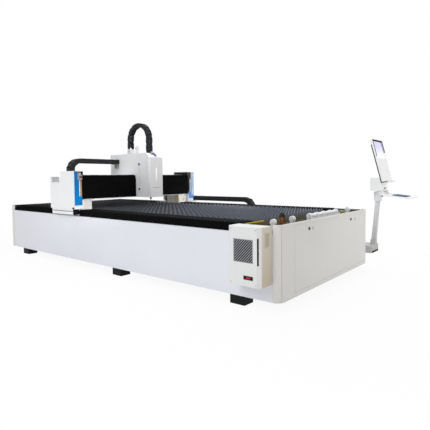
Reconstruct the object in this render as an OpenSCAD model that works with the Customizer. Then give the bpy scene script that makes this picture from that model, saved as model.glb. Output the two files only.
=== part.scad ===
/* [Bed] */
// Length of the bed
bed_l = 5420; // [5360:10:5480]
// Width of the bed
bed_w = 2300; // [2280:10:2340]
// Gap between the floor and the side panels
floor_gap = 90; // [80:1:100]
// Height of the side panels' top edge
panel_top = 723; // [718:1:728]
// Rise of the end cowls above the side panels
cowl_rise = 92; // [88:1:96]
// Radius of the front corners
corner_r = 75; // [60:1:85]

/* [Table] */
// Spacing of the slats
slat_pitch = 80; // [70:1:100]
// Rise of the slat tips above the side panels
slat_rise = 99; // [95:1:103]
// Spacing of the teeth along a slat
tooth_pitch = 75; // [60:1:90]
// Thickness of a slat
slat_t = 4; // [3:0.5:5]
// Diameter of the loading wheels
wheel_d = 64; // [58:1:70]

/* [Gantry] */
// Place of the gantry along the bed
gantry_x = -880; // [-900:5:-860]
// Length of the gantry end covers
cover_l = 660; // [650:5:680]
// Overhang of the end covers past the bed
cover_over = 78; // [74:1:84]
// Height of the end covers
cover_top = 1370; // [1350:5:1390]
// Height of the beam's underside
beam_z = 1000; // [995:1:1005]
// Height of the beam section
beam_h = 300; // [294:1:306]
// Pleat spacing of the rail covers
x_pleat = 46; // [42:1:60]
// Pleat spacing of the beam covers
y_pleat = 32; // [28:1:40]

/* [Carriage] */
// Place of the carriage across the bed
carriage_y = 20; // [10:1:30]
// Width of the carriage cover
carriage_w = 290; // [284:1:296]
// Height of the carriage cover
carriage_top = 1660; // [1650:1:1680]
// Radius of the arched chain
arch_r = 233; // [230:1:238]

/* [Cooling unit] */
// Width of the cooling unit
cooler_w = 378; // [370:1:382]
// Height of the cooling unit
cooler_h = 544; // [520:1:560]
// Depth of the cooling unit
cooler_d = 200; // [180:1:220]

/* [Console] */
// Width of the screen
monitor_w = 480; // [440:1:500]
// Height of the screen
monitor_h = 720; // [690:1:740]
// Backward lean of the screen in degrees
monitor_tilt = 15; // [12:0.5:18]

/* [Hidden] */
$fn = 48;

// Fits between pieces that touch, and room at cut ends
fit = 0.2;
seat = 0.5;
cut = 1;
sheet = 3;

// Outer faces of the bed
x_r = -bed_l / 2;
x_f = bed_l / 2;
y_n = -bed_w / 2;
y_f = bed_w / 2;
cowl_top = panel_top + cowl_rise;
slat_top = panel_top + slat_rise;

// Welded frame
girder_w = 240;
girder_t = 12;
girder_top = panel_top - 33;
girder_y = y_n + sheet + seat;
rear_d = 100;
front_d = corner_r + sheet;
frame_x0 = x_r + rear_d + 4;
frame_x1 = x_f - 90;
beam_s = 100;
low_z = floor_gap + sheet + seat;
ledge_w = 20;
ledge_z = low_z + beam_s + 20;
tie_h = 120;

// Slat table
table_x0 = x_r + 250;
table_x1 = x_f - 480;
slat_half = bed_w / 2 - 270;
slat_z0 = girder_top + 40;
tooth_h = 25;
bar_t = 8;
bar_ys = [-0.91, -0.31, 0.31, 0.91];
bays = 3;
bay_l = (table_x1 - table_x0 - beam_s) / bays;
function post_x(i) = table_x0 + beam_s / 2 + i * bay_l;

// Scrap drawers
drawer_gap = 8;
drawer_l = bay_l - beam_s - 2 * drawer_gap;
drawer_z = ledge_z + seat;
drawer_h = 215;
drawer_y0 = -slat_half;
face_over = 12;

// Rails and racks of the long axis
rail_w = 28;
rail_h = 26;
rail_y = y_n + 185;
rail_x0 = x_r + 180;
rail_x1 = table_x1 + 8;
x_mod = 5;
x_teeth = 14;
x_rp = x_mod * x_teeth / 2;
rack_add = 0.75;
backlash = 0.35;
rack_h = 30;

// Bellows of the long axis
bel_y0 = y_n + 28;
bel_y1 = y_n + 246;
bel_z0 = panel_top + 3;
bel_z1 = cowl_top - 8;
bel_wall = 10;
bel_amp = 6;
bel_x1 = table_x1 + 15;

// Gantry foot and beam
saddle_x1 = gantry_x + 270;
block_h = 45;
saddle_z = girder_top + block_h + fit;
saddle_t = 26;
skirt_out = 60;
skirt_t = 12;
skirt_z0 = panel_top + 22;
skirt_z1 = cowl_top + 13;
pin_y = y_n + 68;
beam_x0 = gantry_x - 30;
beam_x1 = gantry_x + 260;
beam_t = 10;
beam_top = beam_z + beam_h;
beam_half = bed_w / 2 - 5;
tray_t = 6;
tray_half = bed_w / 2 - 75;
lip_t = 8;
lip_z = beam_z - 42;
ped_y0 = 80;
ped_y1 = 240;
lip_half = bed_w / 2 - ped_y1 - seat;

// End covers
cover_x1 = beam_x1 + 70;
cover_x0 = cover_x1 - cover_l;
saddle_x0 = cover_x0 + 10;
servo_x = (cover_x0 + beam_x0) / 2;
cover_y0 = y_n - cover_over;
cover_y1 = y_n + 65;
cover_z = skirt_z1 + seat;
step_x = gantry_x - 40;
step_top = beam_top - 2;
trim_t = 14;
trim_z0 = cover_z + 55;

// Rails, rack and covers on the beam
y_rail_d = 20;
y_rail_h = 23;
y_rail_zs = [beam_z + 60, beam_top - 60];
y_mod = 4;
y_teeth = 14;
y_rp = y_mod * y_teeth / 2;
y_rack_x = beam_x0 + 220;
y_rack_h = 19;
ybel_x0 = beam_x1 + 6;
ybel_x1 = beam_x1 + 55;
ybel_z0 = beam_z - 28;
ybel_z1 = beam_top + 8;
ybel_amp = 5;
ybel_y = bed_w / 2 - 44;

// Carriage
plate_x = beam_x1 + 31;
plate_t = 25;
plate_half = carriage_w / 2 - 12;
shelf_z = beam_top + 40;
shelf_t = 16;
car_y0 = carriage_y - carriage_w / 2;
car_y1 = carriage_y + carriage_w / 2;
car_x0 = beam_x0 - 308;
car_x1 = beam_x1 + 400;
car_z = beam_z - 40;
car_round = 26;
notch_x = beam_x1 + 68;
notch_z = beam_top + 22;
notch_cut = 60;
nose_x = 90;
nose_z = 72;
cover_lock_zs = [car_z + 127, car_z + 524];

// Cutting head
head_x = beam_x1 + 255;
head_w = 100;
tip_z = slat_top + 91;
act_x1 = plate_x + plate_t + 94;
fibre_x = head_x + 56;

// Chains: bend radius, links in the half turn, height and width of a link
x_ch_r = 135;
x_ch_n = 5;
x_ch_h = 80;
x_ch_w = 90;
x_ch_y = y_f + cover_over + 62;
x_ch_top = skirt_z1 + 11 + seat + x_ch_h / 2;
x_ch_x = gantry_x + 240;
y_ch_r = 150;
y_ch_n = 7;
y_ch_h = 62;
y_ch_w = 80;
y_ch_x = beam_x0 - 140;
y_ch_y = car_y0 - y_ch_h / 2 - 4;
y_ch_low = beam_top - 54;
y_tray = y_ch_low - y_ch_h / 2 - seat;
y_hold = y_tray + 2 * y_ch_r;
z_ch_n = 12;
z_ch_h = 58;
z_ch_w = 84;
arch_x = head_x - 18 - 2 * arch_r;
arch_foot = carriage_top + 86;
link_t = 7;
link_bar = 6;
lid_share = 0.9;

// Front end
deck_z = panel_top + 19;
deck_x0 = bel_x1 + seat;
deck_x1 = x_f - 6 - seat;
wheel_x = x_f - 195;
wheel_z = cowl_top;
wheel_w = 30;
wheel_bore = 8;
cheek_t = 5;
mid_n = 5;
mid_pitch = 180;
mid_y = 195;
roller_ys = [y_n + 210, y_n + 590, y_f - 200];
stop_y = y_n + 376;
door_y0 = y_n + 286;
door_y1 = y_f - 125;
door_z0 = floor_gap + 45;
door_z1 = cowl_top - 28;
door_t = 2.5;
rim = 18;
seam = 3;
lock_z = cowl_top - 86;
lock_ys = [y_n + 583, y_n + 1705];
lock_r = 16;
lock_pin = 9;

// Floor blocks
foot_l = 178;
foot_w = 150;
foot_xs = [-2225, 281, 2225];
anchor_r = 9;
anchor_depth = 60;

// Cooling unit
cooler_x0 = x_f - front_d - 2 - cooler_w;
cooler_z0 = floor_gap + 172;
cooler_cham = 39;
grille_w = 217;
grille_h = 215;
grille_x = cooler_x0 + cooler_w / 2;
grille_z = cooler_z0 + cooler_h - 220;
grille_y = y_n - cooler_d;
bar_w = 7;
bar_pitch = 18;
fan_r = 92;

// Console
axis_x = 2405;
axis_y = 2550;
base_x0 = axis_x - 495;
base_x1 = axis_x - 14;
base_y0 = axis_y - 241;
base_y1 = axis_y + 105;
base_h = 120;
flare_z = 200;
col_low = [axis_x - 55, 70, 67];
col_top = [axis_x, 62, 60];
col_z1 = 846;
collar_r = 60;
collar_h = 150;
spigot_r = 30;
head_z = col_z1 + collar_h + 12;
head_half = 150;
head_x1 = axis_x + 107;
mon_z = head_z + 138;
mon_x = axis_x + 123;
mon_t = 45;
shelf_x0 = axis_x + 112;
shelf_l = 455;
shelf_half = 225;
shelf_drop = 6.5;
shelf_th = 22;
button_r = 14;

// Welded and folded shapes
module tube_x(l, w, h, t) {
    difference() {
        cube([l, w, h]);
        translate([-cut, t, t]) cube([l + 2 * cut, w - 2 * t, h - 2 * t]);
    }
}

module tube_y(l, w, h, t) {
    difference() {
        cube([w, l, h]);
        translate([t, -cut, t]) cube([w - 2 * t, l + 2 * cut, h - 2 * t]);
    }
}

module tube_z(l, w, t) {
    difference() {
        cube([w, w, l]);
        translate([t, t, -cut]) cube([w - 2 * t, w - 2 * t, l + 2 * cut]);
    }
}

module both() {
    children();
    mirror([0, 1, 0]) children();
}

module bar(x0, x1, y0, y1, z0, z1) {
    translate([x0, y0, z0]) cube([x1 - x0, y1 - y0, z1 - z0]);
}

// Outline in x and z drawn out along y
module along_y(y0, y1, pts) {
    translate([0, y1, 0]) rotate([90, 0, 0]) linear_extrude(y1 - y0) polygon(pts);
}

// Outline in y and z drawn out along x
module along_x(x0, x1, pts) {
    translate([x0, 0, 0]) rotate([90, 0, 90]) linear_extrude(x1 - x0) polygon(pts);
}

module rod_x(x0, x1, y, z, r) {
    translate([x0, y, z]) rotate([0, 90, 0]) cylinder(h = x1 - x0, r = r);
}

module rod_y(y0, y1, x, z, r) {
    translate([x, y1, z]) rotate([90, 0, 0]) cylinder(h = y1 - y0, r = r);
}

// Involute gear outline
function inv(a) = tan(a) - a * PI / 180;
function half_at(r, rp, rb, z, b) =
    90 / z - b * 90 / PI / rp + (inv(20) - (r > rb ? inv(acos(rb / r)) : 0)) * 180 / PI;
function gear_pts(m, z, b) =
    let (rp = m * z / 2, rb = rp * cos(20), ra = rp + m, rf = rp - 1.3 * m)
    let (rs = [rf, rb, rb + (ra - rb) * 0.3, rb + (ra - rb) * 0.65, ra])
    [for (k = [0:z - 1]) each concat(
        [for (r = rs) let (a = 360 * k / z - half_at(r, rp, rb, z, b)) [r * cos(a), r * sin(a)]],
        [for (i = [4:-1:0]) let (r = rs[i], a = 360 * k / z + half_at(r, rp, rb, z, b))
            [r * cos(a), r * sin(a)]])];

// Rack outline along u, teeth towards -v, tooth gaps at whole pitches from u = 0
function rack_pts(m, k0, k1, b, back) =
    let (p = PI * m, w = p / 4 - b / 2, tn = tan(20), a = rack_add * m, d = 1.25 * m)
    concat([[p * k1, back], [p * k0, back]],
        [for (k = [k0:k1 - 1]) let (c = p * (k + 0.5)) each
            [[c - w - d * tn, d], [c - w + a * tn, -a], [c + w - a * tn, -a], [c + w + d * tn, d]]]);

// Folded cover: rings of an eight-point outline along one axis
module folded(rings) {
    n = len(rings);
    pts = [for (r = rings) each r];
    sides = [for (i = [0:n - 2], j = [0:7])
        [i * 8 + j, i * 8 + (j + 1) % 8, (i + 1) * 8 + (j + 1) % 8, (i + 1) * 8 + j]];
    caps = [[for (j = [7:-1:0]) j], [for (j = [0:7]) (n - 1) * 8 + j]];
    polyhedron(points = pts, faces = concat(sides, caps));
}

function rail_ring(x, d) = [
    for (p = [[bel_y0 - d, bel_z0], [bel_y0 + bel_wall - d, bel_z0],
        [bel_y0 + bel_wall - d, bel_z1 - bel_wall + d], [bel_y1 - bel_wall + d, bel_z1 - bel_wall + d],
        [bel_y1 - bel_wall + d, bel_z0], [bel_y1 + d, bel_z0], [bel_y1 + d, bel_z1 + d],
        [bel_y0 - d, bel_z1 + d]]) [x, p[0], p[1]]];

module rail_bellows(x0, x1) {
    n = round((x1 - x0) / x_pleat);
    s = (x1 - x0) / (2 * n);
    folded([for (i = [0:2 * n]) rail_ring(x0 + i * s, i % 2 == 1 ? bel_amp : 0)]);
}

function beam_ring(y, d) = [
    for (p = [[ybel_x0, ybel_z0 - d], [ybel_x1 + d, ybel_z0 - d], [ybel_x1 + d, ybel_z1 + d],
        [ybel_x0, ybel_z1 + d], [ybel_x0, ybel_z1 + d - bel_wall],
        [ybel_x1 + d - bel_wall, ybel_z1 + d - bel_wall], [ybel_x1 + d - bel_wall, ybel_z0 - d + bel_wall],
        [ybel_x0, ybel_z0 - d + bel_wall]]) [p[0], y, p[1]]];

module beam_bellows(y0, y1) {
    n = round((y1 - y0) / y_pleat);
    s = (y1 - y0) / (2 * n);
    folded([for (i = [0:2 * n]) beam_ring(y0 + i * s, i % 2 == 1 ? ybel_amp : 0)]);
}

// One chain link, pins at u = 0 and u = p, side plates outside or inside their neighbours
module link(p, h, w, lid, outside) {
    y = outside ? w / 2 : w / 2 - link_t - seat;
    for (s = [-1, 1]) translate([0, s * (y - link_t / 2) + link_t / 2, 0]) rotate([90, 0, 0])
        linear_extrude(link_t) {
            translate([0, -h / 2]) square([p, h]);
            circle(h / 2);
            translate([p, 0]) circle(h / 2);
        }
    for (s = [-1, 1]) translate([(p - lid) / 2, -y + link_t / 2, s * (h - link_bar) / 2 - link_bar / 2])
        cube([lid, 2 * y - link_t, link_bar]);
}

// Chain through pins given in u and v, lids clear of each other in a bend of radius r
module chain(pins, h, w, r) {
    for (i = [0:len(pins) - 2]) {
        d = pins[i + 1] - pins[i];
        translate([pins[i][0], 0, pins[i][1]]) rotate([0, -atan2(d[1], d[0]), 0])
            link(norm(d), h, w, norm(d) * (1 - h / 2 / r) * lid_share, i % 2 == 0);
    }
}

// Pins of an upper run, a half turn and a lower run
function turn_pins(r, n, up, low) =
    let (p = 2 * r * sin(90 / n))
    concat([for (i = [up:-1:1]) [-i * p, r]],
        [for (i = [0:n]) [r * sin(180 * i / n), r * cos(180 * i / n)]],
        [for (i = [1:low]) [-i * p, -r]]);

module bed_frame() {
    color("gray") {
        both() {
            bar_l = frame_x1 - frame_x0;
            translate([frame_x0, girder_y, girder_top - girder_w])
                tube_x(bar_l, girder_w, girder_w, girder_t);
            translate([frame_x0, girder_y, low_z]) tube_x(bar_l, beam_s, beam_s, girder_t / 2);
            for (i = [0:bays]) translate([post_x(i) - beam_s / 2, girder_y, low_z + beam_s + fit])
                tube_z(girder_top - girder_w - low_z - beam_s - 2 * fit, beam_s, girder_t / 2);
        }
        for (i = [0:bays]) {
            y0 = girder_y + beam_s + fit;
            translate([post_x(i) - beam_s / 2 - ledge_w, y0, low_z])
                tube_y(-2 * y0, beam_s + 2 * ledge_w, ledge_z - low_z, girder_t / 2);
            y1 = girder_y + girder_w + fit;
            translate([post_x(i) - beam_s / 2, y1, girder_top - tie_h])
                tube_y(-2 * y1, beam_s, tie_h, girder_t / 2);
        }
    }
}

module side_sheet() {
    x0 = x_r + rear_d + seat;
    x1 = x_f - front_d - seat;
    bar(x0, x1, y_n, y_n + sheet, floor_gap, panel_top);
    bar(x0, x1, y_n, y_n + 22, panel_top - sheet, panel_top);
    bar(x0, x1, y_n, y_n + 30, floor_gap, floor_gap + sheet);
}

module near_panel() {
    color("whitesmoke") side_sheet();
}

module far_panel() {
    color("whitesmoke") difference() {
        mirror([0, 1, 0]) side_sheet();
        for (i = [0:bays - 1]) bar(post_x(i) + beam_s / 2 + drawer_gap - 3, post_x(i + 1) - beam_s / 2
            - drawer_gap + 3, y_f - sheet - cut, y_f + cut, drawer_z - 4, drawer_z + drawer_h + 4);
    }
}

// Plan outline of the front end, rounded at both corners
module front_plan(r, inset) {
    x1 = x_f - inset;
    y1 = y_f - inset;
    translate([x_f - corner_r * 2, -y1]) square([corner_r * 2 - inset - r, 2 * y1]);
    translate([x1 - r - cut, -y1 + r]) square([r + cut, 2 * (y1 - r)]);
    for (s = [-1, 1]) translate([x1 - r, s * (y1 - r)]) circle(r);
}

module front_cowl() {
    color("whitesmoke") difference() {
        union() {
            difference() {
                translate([0, 0, floor_gap]) linear_extrude(cowl_top - floor_gap) front_plan(corner_r, 0);
                translate([0, 0, floor_gap - cut]) linear_extrude(cowl_top - floor_gap - sheet + cut)
                    front_plan(corner_r - sheet, sheet);
                translate([0, 0, cowl_top - sheet - cut]) linear_extrude(sheet + 2 * cut)
                    front_plan(corner_r - rim, rim);
                bar(x_f - 3 * corner_r, x_f - front_d, y_n - cut, y_f + cut, 0, cowl_top + cut);
            }
            difference() {
                bar(x_f - 2 * sheet, x_f - sheet / 2, door_y0 - rim, door_y1 + rim, door_z0 - rim,
                    door_z1 + rim);
                bar(x_f - 3 * sheet, x_f, door_y0 + rim, door_y1 - rim, door_z0 + rim, door_z1 - rim);
            }
        }
        bar(x_f - sheet, x_f + cut, door_y0, door_y1, door_z0, door_z1);
        bar(x_f - 3 * sheet, x_f + cut, door_y0 + rim, door_y1 - rim, door_z0 + rim, door_z1 - rim);
    }
}

module front_door() {
    color("whitesmoke") difference() {
        bar(x_f - door_t, x_f, door_y0 + seam, door_y1 - seam, door_z0 + seam, door_z1 - seam);
        for (y = lock_ys) rod_x(x_f - 2 * door_t, x_f + cut, y, lock_z, lock_pin + 0.3);
    }
}

// Quarter-turn lock: slotted head outside, pin through the sheet, cam behind it
module turn_lock(cam, gap) {
    difference() {
        translate([0, 0, fit]) cylinder(h = 6, r = lock_r);
        translate([-lock_r / 8, -lock_r * 0.7, 3]) cube([lock_r / 4, lock_r * 1.4, 6]);
    }
    translate([0, 0, -gap - 6]) cylinder(h = gap + 6 + 2 * fit, r = lock_pin);
    translate([-lock_pin, -lock_pin, -gap - 6]) cube([cam + lock_pin, 2 * lock_pin, 4]);
}

module door_lock(y) {
    color("dimgray") translate([x_f, y, lock_z]) rotate([0, 90, 0]) mirror([1, 0, 0])
        turn_lock(door_z1 - lock_z - 2, 2 * sheet);
}

module door_lock_a() {
    door_lock(lock_ys[0]);
}

module door_lock_b() {
    door_lock(lock_ys[1]);
}

module rear_cowl() {
    color("whitesmoke") difference() {
        bar(x_r, x_r + rear_d, y_n, y_f, floor_gap, cowl_top);
        bar(x_r + sheet, x_r + rear_d + cut, y_n + sheet, y_f - sheet, floor_gap - cut, cowl_top - sheet);
    }
}

module feet() {
    color("black") both() for (i = [0:2]) difference() {
        bar(foot_xs[i] - foot_l / 2, foot_xs[i] + foot_l / 2, y_n, y_n + foot_w, 0, floor_gap - fit);
        if (i != 1) translate([foot_xs[i], y_n + foot_w / 2, -cut])
            cylinder(h = anchor_depth + cut, r = anchor_r);
    }
}

module x_rails() {
    color("silver") both() bar(rail_x0, rail_x1, rail_y - rail_w / 2, rail_y + rail_w / 2,
        girder_top + fit, girder_top + rail_h);
}

module x_racks() {
    p = PI * x_mod;
    k0 = ceil((rail_x0 - servo_x) / p);
    k1 = floor((rail_x1 - servo_x) / p);
    color("silver") both() translate([servo_x, pin_y + x_rp, girder_top + fit])
        linear_extrude(rack_h) polygon(rack_pts(x_mod, k0, k1, backlash, 26));
}

module slats() {
    n = floor((table_x1 - table_x0 - 60) / slat_pitch);
    m = round(2 * slat_half / tooth_pitch);
    tp = 2 * slat_half / m;
    pts = concat([[slat_half, slat_z0], [-slat_half, slat_z0]],
        [for (i = [0:m - 1]) let (y = -slat_half + i * tp) each
            [[y, slat_top - tooth_h], [y + tp / 2, slat_top]]],
        [[slat_half, slat_top - tooth_h]]);
    color("darkslategray") for (i = [0:n]) let (x = table_x1 - 30 - i * slat_pitch)
        along_x(x - slat_t / 2, x + slat_t / 2, pts);
}

module slat_bars() {
    n = floor((table_x1 - table_x0 - 60) / slat_pitch);
    z0 = girder_top + fit;
    z1 = slat_z0 + 30;
    w = slat_t / 2 + seat;
    pts = concat([[table_x0 + 10, z1], [table_x0 + 10, z0], [table_x1 - 10, z0], [table_x1 - 10, z1]],
        [for (i = [0:n]) let (x = table_x1 - 30 - i * slat_pitch) each
            [[x + w, z1], [x + w, slat_z0 - fit], [x - w, slat_z0 - fit], [x - w, z1]]]);
    color("dimgray") {
        for (s = bar_ys) along_y(s * slat_half - bar_t / 2, s * slat_half + bar_t / 2, pts);
        for (x = [table_x0, table_x1 - 10 + fit])
            bar(x, x + 10 - fit, -slat_half, slat_half, z0, slat_top - tooth_h - 4);
    }
}

module drawer(i) {
    x0 = post_x(i) + beam_s / 2 + drawer_gap;
    x1 = x0 + drawer_l;
    z1 = drawer_z + drawer_h;
    xm = (x0 + x1) / 2;
    color("lightgray") {
        difference() {
            bar(x0, x1, drawer_y0, y_f + seat + cut, drawer_z, z1);
            bar(x0 + sheet, x1 - sheet, drawer_y0 + sheet, y_f - sheet, drawer_z + sheet, z1 + cut);
        }
        bar(x0 - face_over, x1 + face_over, y_f + seat, y_f + seat + sheet, drawer_z - face_over,
            z1 + face_over);
        for (s = [-1, 1]) rod_y(y_f + seat + cut, y_f + 40, xm + s * 80, z1 - 70, 7);
        rod_x(xm - 90, xm + 90, y_f + 40, z1 - 70, 8);
    }
}

module drawer_1() {
    drawer(0);
}

module drawer_2() {
    drawer(1);
}

module drawer_3() {
    drawer(2);
}

module x_bellows_rear() {
    color("black") both() rail_bellows(x_r + rear_d + seat, saddle_x0 - seat);
}

module x_bellows_front() {
    color("black") both() rail_bellows(saddle_x1 + seat, bel_x1);
}

module x_chain() {
    p = 2 * x_ch_r * sin(90 / x_ch_n);
    up = 15;
    color("black") translate([x_ch_x + up * p, x_ch_y, x_ch_top - x_ch_r])
        chain(turn_pins(x_ch_r, x_ch_n, up, 8), x_ch_h, x_ch_w, x_ch_r);
}

module x_chain_tray() {
    z1 = x_ch_top - 2 * x_ch_r - x_ch_h / 2 - seat;
    x0 = gantry_x + 780;
    x1 = x_f - 520;
    y0 = y_f + fit;
    y1 = x_ch_y + x_ch_w / 2 + 10;
    color("whitesmoke") {
        along_x(x0, x1, [[y0, z1], [y1 - sheet, z1], [y1 - sheet, z1 + 34], [y1, z1 + 34], [y1, z1 - 6],
            [y0 + 6, z1 - 6], [y0 + 6, z1 - 60], [y0, z1 - 60]]);
        for (i = [0:4]) {
            x = x0 + 60 + i * (x1 - x0 - 120) / 4;
            along_x(x - 3, x + 3, [[y0 + 5, z1 - 5], [y0 + 5, z1 - 60], [y1 - 30, z1 - 5]]);
        }
    }
}

module cheek(y) {
    bar(wheel_x - 20, wheel_x + 20, y - cheek_t / 2, y + cheek_t / 2, deck_z - sheet / 2, wheel_z);
    rod_y(y - cheek_t / 2, y + cheek_t / 2, wheel_x, wheel_z, 20);
}

module front_deck() {
    gap = wheel_w / 2 + seat + cheek_t / 2;
    edge = x_f - deck_x1;
    mid_half = (mid_n - 1) / 2 * mid_pitch + gap + 8;
    ys = concat([for (y = roller_ys) each [y - gap, y + gap]], [mid_y - mid_half, mid_y + mid_half]);
    color("dimgray") {
        difference() {
            union() {
                bar(deck_x0, x_f - corner_r, y_n + edge, y_f - edge, deck_z - sheet, deck_z);
                translate([0, 0, deck_z - sheet]) linear_extrude(sheet) front_plan(corner_r - edge, edge);
                both() {
                    bar(deck_x0, deck_x0 + 10, y_n + 26, bel_y1 + 4, girder_top + fit, cowl_top);
                    bar(deck_x0 + 8, deck_x1 - 150, y_n + 60, y_n + 66, girder_top + fit, deck_z - cut);
                }
                for (y = ys) cheek(y);
            }
            for (y = ys) rod_y(y - cheek_t, y + cheek_t, wheel_x, wheel_z, wheel_bore + 0.3);
            for (y = lock_ys) bar(deck_x1 - 12, deck_x1 + cut, y - 75, y + 75, deck_z - 2 * sheet,
                deck_z + cut);
        }
        for (s = [-1, 1]) along_y(stop_y + s * 22 - 4, stop_y + s * 22 + 4, [[wheel_x - 45, deck_z + fit],
            [wheel_x - 12, deck_z + 150], [wheel_x + 12, deck_z + 150], [wheel_x + 45, deck_z + fit],
            [wheel_x + 25, deck_z + fit], [wheel_x, deck_z + 100], [wheel_x - 25, deck_z + fit]]);
        rod_y(stop_y - 18 + fit, stop_y + 18 - fit, wheel_x, deck_z + 132, 10);
    }
}

module wheel(y) {
    difference() {
        rod_y(y - wheel_w / 2, y + wheel_w / 2, wheel_x, wheel_z, wheel_d / 2);
        for (s = [-1, 1]) translate([wheel_x, y + s * wheel_w / 2 + 3, wheel_z]) rotate([90, 0, 0])
            cylinder(h = 6, r = wheel_d / 4);
    }
    rod_y(y - wheel_w / 2, y + wheel_w / 2, wheel_x, wheel_z, wheel_bore + 5);
}

module roller(y) {
    reach = wheel_w / 2 + seat + cheek_t + 4;
    color("white") {
        wheel(y);
        rod_y(y - reach, y + reach, wheel_x, wheel_z, wheel_bore);
    }
}

module roller_1() {
    roller(roller_ys[0]);
}

module roller_2() {
    roller(roller_ys[1]);
}

module roller_mid() {
    reach = (mid_n - 1) / 2 * mid_pitch + wheel_w / 2 + seat + cheek_t + 12;
    color("white") {
        for (i = [0:mid_n - 1]) wheel(mid_y + (i - (mid_n - 1) / 2) * mid_pitch);
        rod_y(mid_y - reach, mid_y + reach, wheel_x, wheel_z, wheel_bore);
    }
}

module roller_4() {
    roller(roller_ys[2]);
}

// Plan outline of the cooling unit, both outer corners cut
module cooler_plan(t) {
    x1 = cooler_x0 + cooler_w;
    y0 = y_n - cooler_d + t;
    k = cooler_cham + t * 0.4;
    polygon([[cooler_x0 + t, y_n - t], [cooler_x0 + t, y0 + k - t], [cooler_x0 + k, y0], [x1 - k, y0],
        [x1 - t, y0 + k - t], [x1 - t, y_n - t]]);
}

module cooler_case() {
    z1 = cooler_z0 + cooler_h;
    x1 = cooler_x0 + cooler_w;
    color("whitesmoke") difference() {
        translate([0, 0, cooler_z0]) linear_extrude(cooler_h) cooler_plan(seat);
        translate([0, 0, cooler_z0 + sheet]) linear_extrude(cooler_h - 2 * sheet) cooler_plan(sheet + seat);
        bar(grille_x - grille_w / 2, grille_x + grille_w / 2, grille_y - cut, grille_y + 2 * sheet,
            grille_z - grille_h / 2, grille_z + grille_h / 2);
        translate([x1 - cooler_cham * 0.78, grille_y + cooler_cham * 0.22, grille_z]) rotate([0, 0, 45])
            cube([16, 4 * sheet, grille_h + 32], center = true);
    }
}

module cooler_grille() {
    n = ceil(grille_w / bar_pitch);
    w = grille_w - 2 * seat;
    h = grille_h - 2 * seat;
    color("dimgray") translate([grille_x, grille_y + sheet + seat, grille_z]) rotate([90, 0, 0]) {
        linear_extrude(sheet) difference() {
            square([w, h], center = true);
            square([w - 12, h - 12], center = true);
        }
        linear_extrude(sheet - cut) intersection() {
            square([w - 8, h - 8], center = true);
            for (i = [-n:n]) rotate(-45) translate([i * bar_pitch - bar_w / 2, -grille_w])
                square([bar_w, 2 * grille_w]);
        }
        for (s = [-1, 1]) translate([s * (w / 2 - 3) - 3, -12, sheet - cooler_d + 3 * sheet])
            cube([6, 24, cooler_d - 4 * sheet]);
        translate([-w / 2, -12, sheet - cooler_d + 3 * sheet]) cube([w, 24, 4]);
        translate([0, 0, -cooler_d + 4 * sheet]) cylinder(h = cooler_d / 2 - 4, r = 8);
    }
}

module cooler_fan() {
    y = grille_y + cooler_d / 2;
    color("black") {
        difference() {
            rod_y(y - 15, y + 15, grille_x, grille_z, 34);
            rod_y(y - 5, y + 16, grille_x, grille_z, 8.4);
        }
        for (i = [0:6]) translate([grille_x, y, grille_z]) rotate([0, i * 360 / 7, 0])
            translate([32, 0, 0]) rotate([32, 0, 0]) translate([0, -1.5, -22]) cube([fan_r - 34, 3, 44]);
    }
}

module console_base() {
    k = 20;
    x0 = base_x0;
    x1 = base_x1;
    plan = [[x0 + k, base_y0], [x1 - k, base_y0], [x1, base_y0 + k], [x1, base_y1 - k],
        [x1 - k, base_y1], [x0 + k, base_y1], [x0, base_y1 - k], [x0, base_y0 + k]];
    color("lightgray") {
        linear_extrude(base_h) polygon(plan);
        hull() {
            translate([col_low[0] - 50, axis_y - 44, base_h - cut]) cube([88, 88, cut]);
            translate([col_low[0] - 46, axis_y - 40, flare_z - cut]) cube([82, 80, cut]);
        }
    }
}

module console_column() {
    z0 = flare_z + fit;
    ends = [[col_low, z0], [col_top, col_z1]];
    pts = [for (e = ends) each [for (s = [[-1, -1], [1, -1], [1, 1], [-1, 1]])
        [e[0][0] + s[0] * e[0][1] / 2, axis_y + s[1] * e[0][2] / 2, e[1]]]];
    color("lightgray") {
        polyhedron(points = pts, faces = [[0, 1, 2, 3], [7, 6, 5, 4], [0, 4, 5, 1], [1, 5, 6, 2],
            [2, 6, 7, 3], [3, 7, 4, 0]]);
        difference() {
            translate([axis_x, axis_y, col_z1 - cut]) cylinder(h = collar_h + cut, r = collar_r);
            translate([axis_x, axis_y, col_z1 + collar_h - 80]) cylinder(h = 80 + cut, r = spigot_r + 0.4);
        }
    }
}

module console_head() {
    back = tan(monitor_tilt);
    z1 = head_z + 225;
    color("whitesmoke") {
        difference() {
            along_y(axis_y - head_half, axis_y + head_half, [[axis_x - 76, head_z + 12],
                [axis_x + 35, head_z], [head_x1, head_z + 22], [head_x1, mon_z], [mon_x - seat, mon_z],
                [mon_x - seat - (z1 - mon_z) * back, z1], [axis_x - 80, z1]]);
            rod_x(head_x1 - 14, head_x1 + cut, axis_y, head_z + 50, button_r - 5 + 0.4);
        }
        translate([axis_x, axis_y, head_z - 70]) cylinder(h = 90, r = spigot_r);
    }
}

module console_monitor() {
    color("black") translate([mon_x, axis_y, mon_z]) rotate([0, -monitor_tilt, 0]) {
        translate([0, -monitor_w / 2, 0]) cube([mon_t, monitor_w, monitor_h]);
        translate([mon_t - cut, -monitor_w / 2, 0]) cube([60, monitor_w, 12]);
    }
}

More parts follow.
